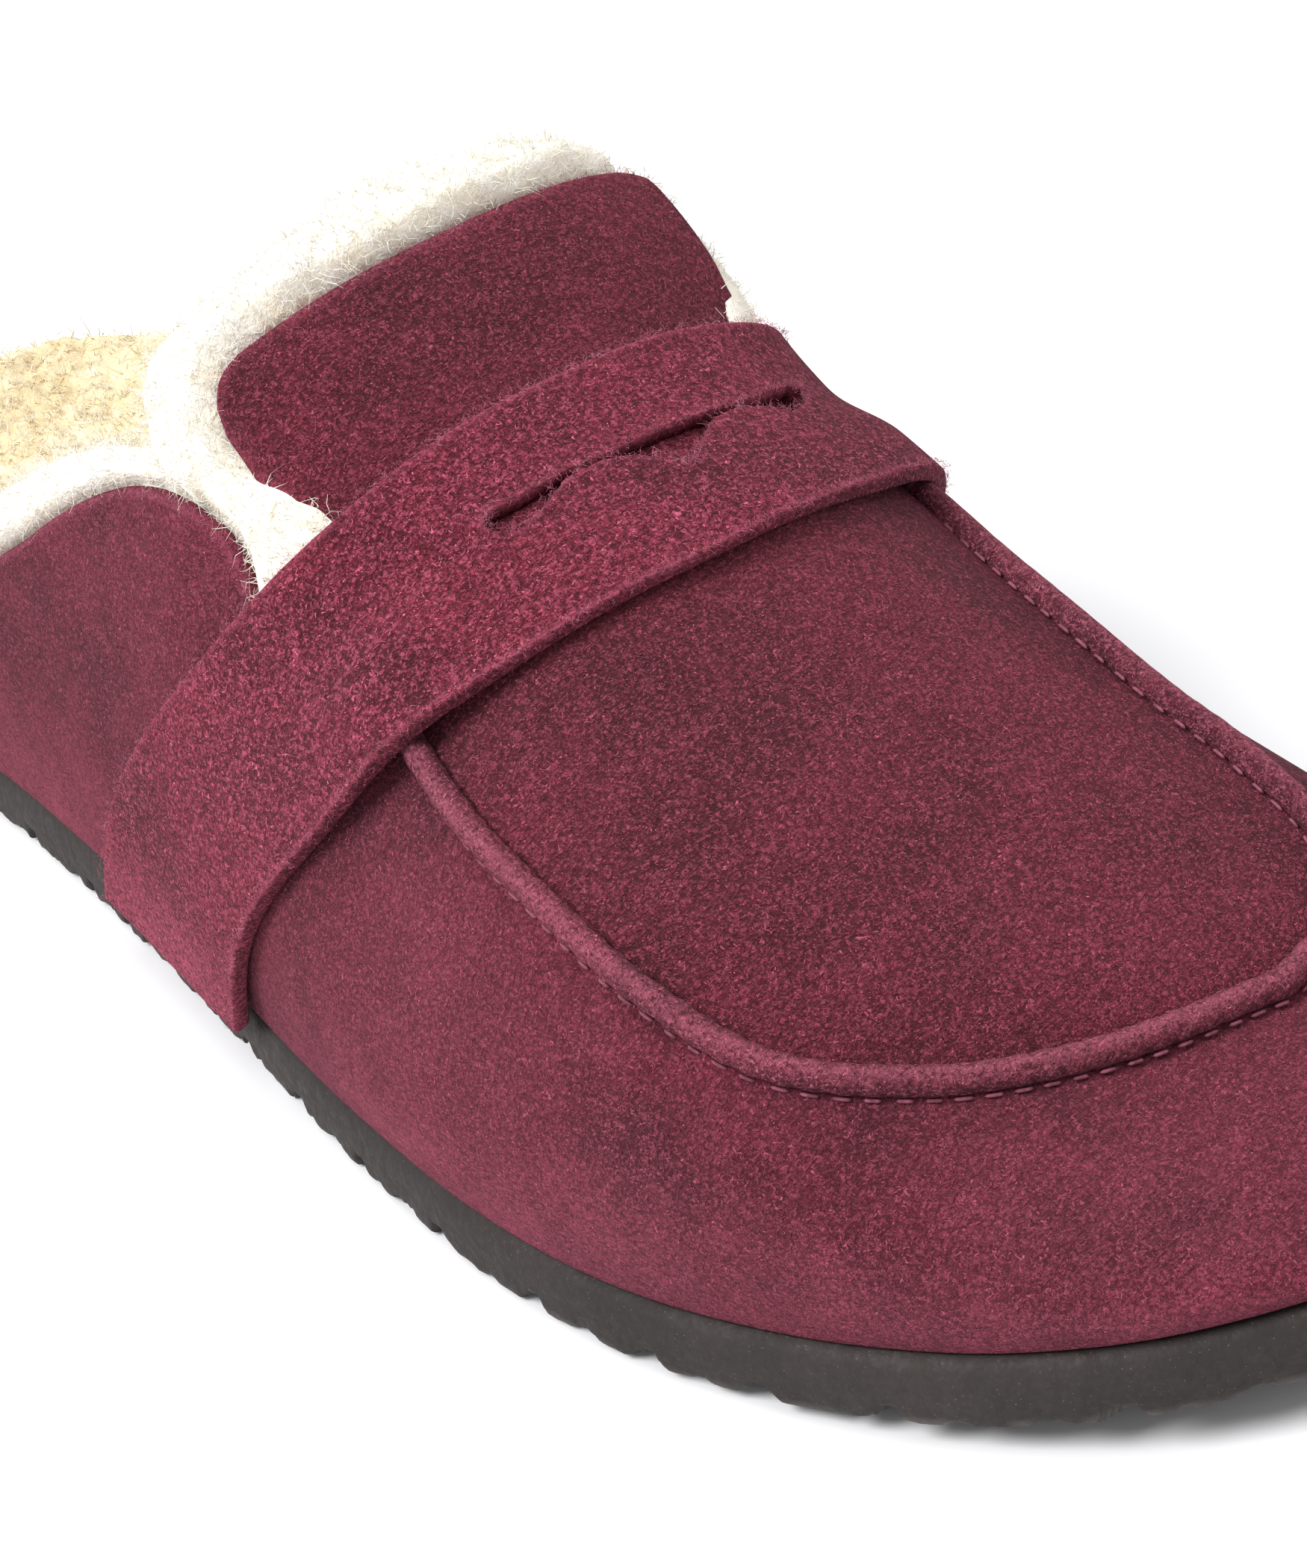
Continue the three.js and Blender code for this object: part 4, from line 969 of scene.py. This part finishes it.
def slot_curve(n=5):
    P = np.array(SLOT, float)
    out = []
    for i in range(len(P)):
        p0, p1, p2, p3 = P[i - 1], P[i], P[(i + 1) % len(P)], P[(i + 2) % len(P)]
        for j in range(n):
            s = j / n
            out.append(0.5 * (2 * p1 + (p2 - p0) * s + (2 * p0 - 5 * p1 + 4 * p2 - p3) * s * s + (-p0 + 3 * p1 - 3 * p2 + p3) * s ** 3))
    return np.array(out)


_sc = slot_curve()
_sc = _sc + 0.06 * np.random.default_rng(4).normal(size=_sc.shape)
_slot3 = _c[0] + _sc[:, :1] * np.array([1.0, 0, 0]) + _sc[:, 1:] * _Y
n = len(_slot3)
lo, hi = _slot3 - _up * 9, _slot3 + _up * 16
Vc = np.concatenate([lo, hi, [lo.mean(0)], [hi.mean(0)]])
i = np.arange(n)
j = (i + 1) % n
cutter = make_mesh("slot_cutter", world(Vc), np.stack([i, j, j + n, i + n], -1), np.concatenate([np.stack([j, i, np.full(n, 2 * n)], -1), np.stack([i + n, j + n, np.full(n, 2 * n + 1)], -1)]))
bpy.context.view_layer.update()
import bmesh
for o in (cutter, strap):
    bm = bmesh.new()
    bm.from_mesh(o.data)
    bmesh.ops.recalc_face_normals(bm, faces=bm.faces)
    bm.to_mesh(o.data)
    bm.free()
mod = strap.modifiers.new("slot", "BOOLEAN")
mod.operation = "DIFFERENCE"
mod.solver = "EXACT"
mod.object = cutter
dg = bpy.context.evaluated_depsgraph_get()
cut = bpy.data.meshes.new_from_object(strap.evaluated_get(dg))
strap.modifiers.clear()
strap.data = cut
bpy.data.objects.remove(cutter)
strap.data.polygons.foreach_set("use_smooth", np.ones(len(strap.data.polygons), bool))
wear(strap, MAT["strap"], "strap_suede", "penny_strap")
_w = np.linspace(-2, 2, 500)
_A, _B = np.meshgrid(np.array([0.0, 1.0]), _w)
_sp = strap_at(STRAP_T)(_A, _B)
strap_edges = [_sp[:, 0], _sp[:, 1]]
# where the slot's sides come out of the strap's face
near = []
_A, _B = np.meshgrid(np.linspace(0, 1, 60), np.linspace(-0.75, 0.75, 200))
_face = strap_at(STRAP_T, 0)(_A, _B).reshape(-1, 3)
_f2 = np.stack([(_face - _c[0]) @ np.array([1.0, 0, 0]), (_face - _c[0]) @ _Y], -1)
for c2 in _sc:
    kk = ((_f2 - c2) ** 2).sum(1).argmin()
    near.append(_face[kk])
slot_edge = np.array(near)
wear_from(strap, strap_edges + [slot_edge], 0.42)

# raised seam
RIDGE_BACK, RIDGE_R = 170.0, 1.7


def ridge_frame(B):
    q = 2 * B
    r = around(q, RIDGE_BACK)
    p, nn = wall_around(q, RIDGE_BACK, np.ones_like(q))
    h = RIDGE_R - 0.55 + 0.45 * step(r, 250, 285)
    return p + nn * h[..., None], nn, r


_fb = np.linspace(0, 1, 1400)
_fc, _fn, _fr = ridge_frame(_fb)
for _ in range(6):
    _fn = unit(np.concatenate([_fn[:1], (_fn[:-2] + _fn[1:-1] + _fn[2:]) / 3, _fn[-1:]]))
_ft = unit(np.gradient(_fc, axis=0))
_fs = unit(np.cross(_ft, _fn))
_fu = unit(np.cross(_fs, _ft))
_fl = np.r_[0, np.cumsum(np.linalg.norm(np.diff(_fc, axis=0), axis=1))]
PITCH = 3.05


def along(field, B):
    return np.stack([np.interp(B, _fb, field[:, c]) for c in range(3)], -1)


def ridge_at(radius):
    def f(A, B):
        ang = A * math.radians(150)
        c, sd, up = along(_fc, B), along(_fs, B), along(_fu, B)
        L = np.interp(B, _fb, _fl)
        pinch = 0.5 + 0.5 * np.cos(2 * math.pi * L / PITCH)
        low = np.abs(np.sin(ang))
        taper = 0.8 + 0.2 * step(np.minimum(B, 1 - B), 0.0, 0.03)
        rad = (radius * taper) * (1 + 0.05 * fbm(c, 5, 2, 31)) - 0.16 * pinch * low
        return c + sd * (rad * np.sin(ang))[..., None] + up * (rad * np.cos(ang))[..., None]
    return f


ridge = slab("apron_ridge_suede", np.linspace(-1, 1, 26), np.linspace(0, 1, 900), ridge_at(RIDGE_R), ridge_at(RIDGE_R - 0.75), edge=2, inner_step=3)
wear(ridge, MAT["ridge"], "suede", "apron_ridge")
# lighter along the bead's crest: painted highlight, partly rubbed nap
wear_from(ridge, [_fc + _fu * RIDGE_R], 1.1)

# which side of the ridge faces the apron
INNER = 1 if ((_fs[700] * (np.array([5.0, 200.0, 60.0]) - _fc[700])).sum() > 0) else -1


# stitches along the foot of the ridge
def stitches(name, sides):
    Vs, Qs, Ts = [], [], []
    base = 0
    nseg, nside = 8, 7
    count = int(_fl[-1] / PITCH)
    g = np.random.default_rng(5)
    for sgn in sides:
        for i_ in range(3, count - 3):
            mid = (i_ + 0.5) * PITCH + g.uniform(-0.15, 0.15)
            half = 0.92 + g.uniform(-0.12, 0.12)
            r_here = np.interp(np.interp(mid, _fl, _fb), _fb, _fr)
            ks = np.linspace(-1, 1, nseg + 1)
            bs = np.interp(mid + ks * half, _fl, _fb)
            c, sd, up, tt = along(_fc, bs), along(_fs, bs), along(_fu, bs), along(_ft, bs)
            if sgn == INNER and bs.mean() < 0.60:
                continue  # on the inner side of the foot only
            lift_ = 0.34 * (1 - ks ** 4)
            c2 = c + sd * (sgn * (RIDGE_R * 0.97 + 0.1 + lift_ * 0.3))[:, None] + up * (-RIDGE_R * 0.60 + lift_ * 0.30)[:, None]
            rad = 0.19 * np.sqrt(np.maximum(0.0, 1 - ks ** 6)) + 0.02
            for a_ in range(nseg + 1):
                for b_ in range(nside):
                    th = 2 * math.pi * b_ / nside
                    Vs.append(c2[a_] + (sd[a_] * math.cos(th) + up[a_] * math.sin(th)) * rad[a_])
            for a_ in range(nseg):
                for b_ in range(nside):
                    b2 = (b_ + 1) % nside
                    Qs.append([base + a_ * nside + b_, base + a_ * nside + b2, base + (a_ + 1) * nside + b2, base + (a_ + 1) * nside + b_])
            Vs.append(c2[0])
            Vs.append(c2[-1])
            z0, z1 = base + (nseg + 1) * nside, base + (nseg + 1) * nside + 1
            for b_ in range(nside):
                b2 = (b_ + 1) % nside
                Ts.append([b2 + base, b_ + base, z0])
                Ts.append([base + nseg * nside + b_, base + nseg * nside + b2, z1])
            base += (nseg + 1) * nside + 2
    return finish_piece(name, np.array(Vs), np.array(Qs), np.array(Ts))


seam_stitches = wear(stitches("seam_stitches", (-1, 1)), MAT["thread"], "thread", "seam_thread")


# ---------------------------------------------------------------------------
# shearling
# ---------------------------------------------------------------------------
leathers = [vamp, plug, *quarters, band, strap]


def coords(ob):
    n_ = len(ob.data.vertices)
    co = np.empty(n_ * 3, np.float32)
    no = np.empty(n_ * 3, np.float32)
    ob.data.vertices.foreach_get("co", co)
    ob.data.vertices.foreach_get("normal", no)
    return co.reshape(-1, 3).astype(float), no.reshape(-1, 3).astype(float)


_lc = np.concatenate([coords(o)[0][::3] for o in leathers])
leather_tree = KDTree(len(_lc))
for i_, p_ in enumerate(_lc):
    leather_tree.insert(p_, i_)
leather_tree.balance()


def pile(ob, mat, slot, nodes, lump=5.5, amount=0.9, curl=2.2, curl_amount=0.35, deep=0.0, seed=1, free=1.4):
    """Turns a smooth slab into a lumpy fleece, quiet where leather lies over it, with painted shade in the hollows
    between lumps and along the leather's edge, partly creamier roots.
    """
    co, no = coords(ob)
    P = co / MM
    d = np.array([leather_tree.find(c)[2] for c in co]) / MM
    k = np.clip((d - free) / 3.0, 0, 1)
    a = fbm(P, lump, 2, seed)
    b = np.abs(fbm(P, curl, 2, seed + 5)) * 2 - 0.5
    h = amount * a - curl_amount * b
    co2 = co + no * (h * (0.12 + 0.88 * k))[:, None] * MM
    ob.data.vertices.foreach_set("co", co2.astype(np.float32).ravel())
    ob.data.update()
    # painted shade, partly creamier roots: deeper cream in the hollows between lumps and next to the leather's edge
    root_tint_and_painted_shade = np.clip(0.35 - 0.55 * a + 0.5 * b, 0, 1) * 0.6 + 0.38 * np.exp(-(d / 2.2)) + deep
    point_attr(ob, "root_tint_and_painted_shade", np.clip(root_tint_and_painted_shade, 0, 1))
    return wear(ob, mat, slot, *nodes)


def tongue_edge_r(u):
    """Where the leather of the tongue ends, for any place across."""
    v = np.abs(u)
    c = np.clip((v - 0.82) / 0.18, 0, 1)
    return PLUG_BACK + 1.2 - 4.2 * np.minimum(v, 1) ** 2 + 5 * (1 - np.sqrt(1 - c * c))


def tongue_fleece_at(inner):
    def f(A, B):
        # high at the back, dying away towards the inner side of the foot
        back = 130.0 + 1.2 * np.sin(A * 9) + 0.8 * np.sin(A * 23 + 1) + 3.0 * step(A, 0.55, 1.0) + 2.0 * step(-A, 0.9, 1.0)
        r = lin(back, 292.0, B)
        wide = lin(1.135, 0.965, step(r, 151, 161))
        w_ = A * wide
        gone = r - tongue_edge_r(w_ / 1.05)  # positive under the leather
        free = 1 - step(gone, -3.4, -0.2)
        side = step(np.abs(w_), 1.055, 1.11) * (1 - step(r, 152, 157))
        puff = lin(2.4, 0.6, step(w_, 0.55, 1.0))
        p, nn = arch(r, w_)
        do = lin(-LEATHER - GAP - 0.15, 0.0, np.maximum(free, side * 0.8)) + puff * free
        di = lin(-LEATHER - GAP - lining_depth(r), -7.0, np.maximum(free, side))
        return p + nn * (di if inner else do)[..., None]
    return f


tongue_fleece = slab("tongue_shearling", np.linspace(-1, 1, 96), np.linspace(0, 1, 230) ** 1.5, tongue_fleece_at(False), tongue_fleece_at(True), edge=8, inner_step=1, cap1=True)
pile(tongue_fleece, MAT["fleece"], "shearling", ["tongue_lining"], lump=6.5, amount=1.25, seed=41)


FLEECE_CREST = [[58.5, 31], [66, 37.5], [78, 47.5], [95.5, 60.5], [108, 67.5], [126, 74.3], [138, 75.6], [148, 75.0], [153, 72], [157, 68]]


def quarter_fleece_at(side, inner):
    def f(A, B):
        r = lin(QUARTER_BACK + 0.5, vamp_back(lin(0.25, 0.9, A)) - 0.6, B)
        top = smooth(FLEECE_CREST, 1, r) - 3.0
        bottom = lining_foot(side, r)
        v1 = np.maximum(bottom + 0.06, height_to_v(side, r, top))
        v = lin(bottom, v1, A)
        p, nn = wall(side, r, v)
        zq = smooth(QUARTER_TOP, 1, np.minimum(r, QUARTER_FRONT))
        above = step(p[..., 2], zq + 0.3, zq + 3.4)
        front = step(r, 146.5, 149.5) * step(p[..., 2], 50, 58) * (1 - step(r, 153, 156))
        free = np.maximum(above, front * 0.75)
        do = lin(-LEATHER - GAP - 0.15, 0.35, free)
        di = lin(-LEATHER - GAP - SHEARLING - 0.8, -7.6, free)
        return p + nn * (di if inner else do)[..., None]
    return f


fleeces = [tongue_fleece]
for side, word in ((-1, "lateral"), (1, "medial")):
    ob = slab(f"quarter_shearling_{word}", np.linspace(0, 1, 76), np.linspace(0, 1, 130), quarter_fleece_at(side, False), quarter_fleece_at(side, True), edge=6, inner_step=1)
    pile(ob, MAT["fleece"], "shearling", [f"quarter_lining_{word}"], lump=8, amount=0.8, seed=50 + side)
    fleeces.append(ob)


def vamp_fleece_at(inner):
    d0 = -LEATHER - GAP - 0.8 - GAP - 0.1

    def f(A, B):
        q = 2 * B
        back = vamp_back(lin(0.25, 0.965, A))
        r = around(q, back)
        v = lin(foot_around(q, r), 0.965, A)
        p, nn = wall_around(q, back, v)
        return p + nn * ((d0 - lining_depth(r)) if inner else d0 + 0 * r)[..., None]
    return f


vamp_fleece = slab("vamp_shearling", np.linspace(0, 1, 40), np.linspace(0, 1, 260), vamp_fleece_at(False), vamp_fleece_at(True), edge=4, inner_step=1)
pile(vamp_fleece, MAT["fleece"], "shearling", ["vamp_lining"], amount=0.5, seed=60, free=3.0)


def make_sock():
    k = np.arange(0, RING_N, 2)
    x, t, ox, ot = ring_at(k)
    ins = bed_inset(t) + lin(0, SHEARLING + 2.2, step(t, 40, 62)) + lin(0, 12, step(t, 225, 280))
    shift = ins - bed_inset(t)
    ex, et = x - ox * ins, t - ot * ins
    cx, ct = spine(et)
    th = lin(SOCK, 1.8, step(et, 195, 250))
    rows = []
    for rho in np.linspace(0, 1, 40):
        px, pt = cx + (ex - cx) * rho, ct + (et - ct) * rho
        e = np.hypot(ex - px, et - pt)
        P = np.stack([px, pt, 0 * px], -1)
        round_ = np.sqrt(np.clip(1 - (1 - np.clip(e / 3.2, 0, 1)) ** 2, 0, 1))
        free = 1 - step(pt, 170, 215)
        h = (0.9 * fbm(P, 6, 2, 71) - 0.7 * (np.abs(fbm(P, 2.6, 2, 73)) * 2 - 0.5)) * free
        top = bed_top(px, pt, e + shift) + (th + 1.0 * free) * (0.35 + 0.65 * round_) + h * (0.3 + 0.7 * round_)
        rows.append(np.stack([px, pt, top], -1))
    rows.append(np.stack([ex + ox[...] * 0.3, et + ot * 0.3, bed_top(ex, et, shift) + th * 0.22], -1))
    for rho in (1.0, 0.85, 0.6, 0.3, 0.0):
        px, pt = cx + (ex - cx) * rho, ct + (et - ct) * rho
        e = np.hypot(ex - px, et - pt)
        rows.append(np.stack([px, pt, bed_top(px, pt, e + shift) + 0.08], -1))
    V = np.stack(rows, 0)
    nr, nc = V.shape[:2]
    idx = np.arange(nr * nc).reshape(nr, nc)
    nx = np.roll(idx, -1, 1)
    quads = np.stack([idx[:-1], nx[:-1], nx[1:], idx[1:]], -1).reshape(-1, 4)
    V2, Q, T = weld(V.reshape(-1, 3), quads, 1e-3)
    ob = finish_piece("footbed_sock_shearling", V2, Q, T)
    co, no = coords(ob)
    P = co / MM
    # painted shade, partly creamier roots: deeper cream in the hollows between the lumps
    point_attr(ob, "root_tint_and_painted_shade", np.clip(0.45 - 0.5 * fbm(P, 5, 2, 71) + 0.3 * np.abs(fbm(P, 2.4, 2, 73)), 0, 1))
    return ob


sock = wear(make_sock(), MAT["sock"], "shearling", "footbed_sock")

# ---------------------------------------------------------------------------
# loose fibres
# ---------------------------------------------------------------------------
from mathutils.bvhtree import BVHTree


def tree_of(obs):
    Vs, Fs, base = [], [], 0
    for o in obs:
        co, _ = coords(o)
        Vs.append(co)
        me = o.data
        Fs += [[base + v for v in p.vertices] for p in me.polygons]
        base += len(co)
    return BVHTree.FromPolygons([tuple(v) for v in np.concatenate(Vs)], Fs)


cover = tree_of(leathers)


def sample(ob, n, seed, keep, reach=0.010):
    """n points on the mesh with their normals, open to the air."""
    g = np.random.default_rng(seed)
    co, no = coords(ob)
    me = ob.data
    me.calc_loop_triangles()
    tri = np.empty(len(me.loop_triangles) * 3, np.int32)
    me.loop_triangles.foreach_get("vertices", tri)
    tri = tri.reshape(-1, 3)
    c = co[tri].mean(1)
    N = unit(no[tri].mean(1))
    S = np.stack([c[:, 0] / MM + X_SHIFT, Y_MID - c[:, 1] / MM, c[:, 2] / MM], -1)
    ok = keep(S, np.stack([N[:, 0], -N[:, 1], N[:, 2]], -1))
    area = np.linalg.norm(np.cross(co[tri[:, 1]] - co[tri[:, 0]], co[tri[:, 2]] - co[tri[:, 0]]), axis=1) * ok
    pick = g.choice(len(tri), int(n * 2.0), p=area / area.sum())
    w = g.dirichlet((1, 1, 1), len(pick))
    P = (co[tri[pick]] * w[..., None]).sum(1)
    NN = unit((no[tri[pick]] * w[..., None]).sum(1))
    out = [a for a in range(len(P)) if cover.ray_cast(P[a] + NN[a] * 0.0004, NN[a], reach)[0] is None][:n]
    P, NN = P[out], NN[out]
    return (np.stack([P[:, 0] / MM + X_SHIFT, Y_MID - P[:, 1] / MM, P[:, 2] / MM], -1), np.stack([NN[:, 0], -NN[:, 1], NN[:, 2]], -1))


def messy(N, amount, seed, lean=(0, 0, 0)):
    g = np.random.default_rng(seed)
    return unit(N + g.normal(size=N.shape) * amount + np.array(lean))


open_rim = lambda S, N: (S[:, 1] < 172) & (S[:, 2] > 24)
for ob, n_, sd in ((tongue_fleece, 9000, 1), (fleeces[1], 6500, 2), (fleeces[2], 4500, 3)):
    R, N = sample(ob, n_, 80 + sd, open_rim)
    h = fibres(ob.name + "_fibres", R - N * 0.25, messy(N, 0.55, sd), 2.3, 0.075, bend=0.8, seed=90 + sd, curl=0.5, segs=3)
    wear(h, hair_material(ob.name + "_hair", srgb(244, 241, 234), srgb(236, 230, 214)) if sd == 1 else bpy.data.materials["tongue_shearling_hair"], "shearling")
R, N = sample(sock, 9000, 95, lambda S, N: (N[:, 2] > -0.2) & (S[:, 1] < 150))
h = fibres("footbed_sock_fibres", R - N * 0.3, messy(N, 0.8, 7), 3.0, 0.11, bend=1.1, seed=97, curl=1.0, segs=3)
wear(h, hair_material("sock_hair", srgb(240, 231, 210), srgb(232, 219, 188)), "shearling")


def edge_fuzz(name, lines, n, length, seed):
    g = np.random.default_rng(seed)
    P = np.concatenate(lines)
    pick = g.integers(0, len(P), n)
    R = P[pick] + g.normal(size=(n, 3)) * 0.28
    D = unit(g.normal(size=(n, 3)) + np.array([-0.25, 0.3, 0.55]))
    return fibres(name, R, D, length, 0.035, bend=0.6, seed=seed, segs=2)


fz = edge_fuzz("suede_edge_fuzz", [strap_edges[0], strap_edges[1], slot_edge, slot_edge, *quarter_edges, tongue_edge, band_edge], 5200, 0.95, 61)
wear(fz, MAT["fuzz"], "suede")

# the frame's own parts that still show
for node, mat in (("jute_base", "jute"), ("jute_top", "jute"), ("footbed", "cork"), ("toe_puff", "stiffener"), ("ridge_cord", "thread")):
    ob = frame["nodes"][node]
    ob.data.materials.clear()
    ob.data.materials.append(MAT[mat])

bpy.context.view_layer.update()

# ---------------------------------------------------------------------------
# floor, light, camera
# ---------------------------------------------------------------------------
bpy.ops.mesh.primitive_plane_add(size=6.0, location=(0, 0, -0.0002))
floor = bpy.context.object
floor.name = "studio_floor"
m = Nodes("studio_floor")
m.bsdf.inputs["Base Color"].default_value = (0.80, 0.80, 0.815, 1)
m.bsdf.inputs["Roughness"].default_value = 0.9
m.bsdf.inputs["Specular IOR Level"].default_value = 0.1
floor.data.materials.append(m.mat)

scene = bpy.context.scene
w = bpy.data.worlds.new("studio") if scene.world is None else scene.world
scene.world = w
w.use_nodes = True
w.node_tree.nodes["Background"].inputs[0].default_value = (1.0, 1.0, 1.0, 1)
w.node_tree.nodes["Background"].inputs[1].default_value = 0.66


def soft_light(name, loc, target, strength, angle, colour=(1, 1, 1)):
    """A large far light: even over the whole floor, with wide soft shadows."""
    L = bpy.data.lights.new(name, "SUN")
    L.angle = math.radians(angle)
    L.energy = strength
    L.color = colour
    ob = bpy.data.objects.new(name, L)
    scene.collection.objects.link(ob)
    z = unit(np.array(loc, float) - np.array(target, float))
    x = unit(np.cross([0, 0, 1.0], z))
    y = np.cross(z, x)
    M = Matrix.Identity(4)
    for i_ in range(3):
        M[i_][0], M[i_][1], M[i_][2], M[i_][3] = x[i_], y[i_], z[i_], loc[i_]
    ob.matrix_world = M
    return ob


soft_light("key", (-0.80, 0.14, 0.95), (0, 0, 0.04), 3.3, 26)
soft_light("top", (-0.05, -0.1, 1.35), (0, 0, 0.04), 0.95, 50)

az, el, roll, D, f = math.radians(-33.16), math.radians(33.42), math.radians(-9.4), 0.49975, 5353.71
back = np.array([math.sin(az) * math.cos(el), -math.cos(az) * math.cos(el), math.sin(el)])
right = np.array([math.cos(az), math.sin(az), 0.0])
upv = np.cross(back, right)
X = right * math.cos(roll) + upv * math.sin(roll)
Y = -right * math.sin(roll) + upv * math.cos(roll)
pos = back * D + np.array([0.00027, -0.000415, 0])
cam_data = bpy.data.cameras.new("camera")
cam = bpy.data.objects.new("camera", cam_data)
scene.collection.objects.link(cam)
M = Matrix.Identity(4)
for i_ in range(3):
    M[i_][0], M[i_][1], M[i_][2], M[i_][3] = X[i_], Y[i_], back[i_], pos[i_]
cam.matrix_world = M
cam_data.sensor_fit = "VERTICAL"
cam_data.sensor_height = 36
cam_data.lens = f / 2100 * 36
cam_data.shift_x = (875 - 757.07) / 2100
cam_data.shift_y = (1203.98 - 1050) / 2100
cam_data.clip_start = 0.01
scene.camera = cam
scene.view_settings.view_transform = "Standard"
scene.view_settings.look = "None"
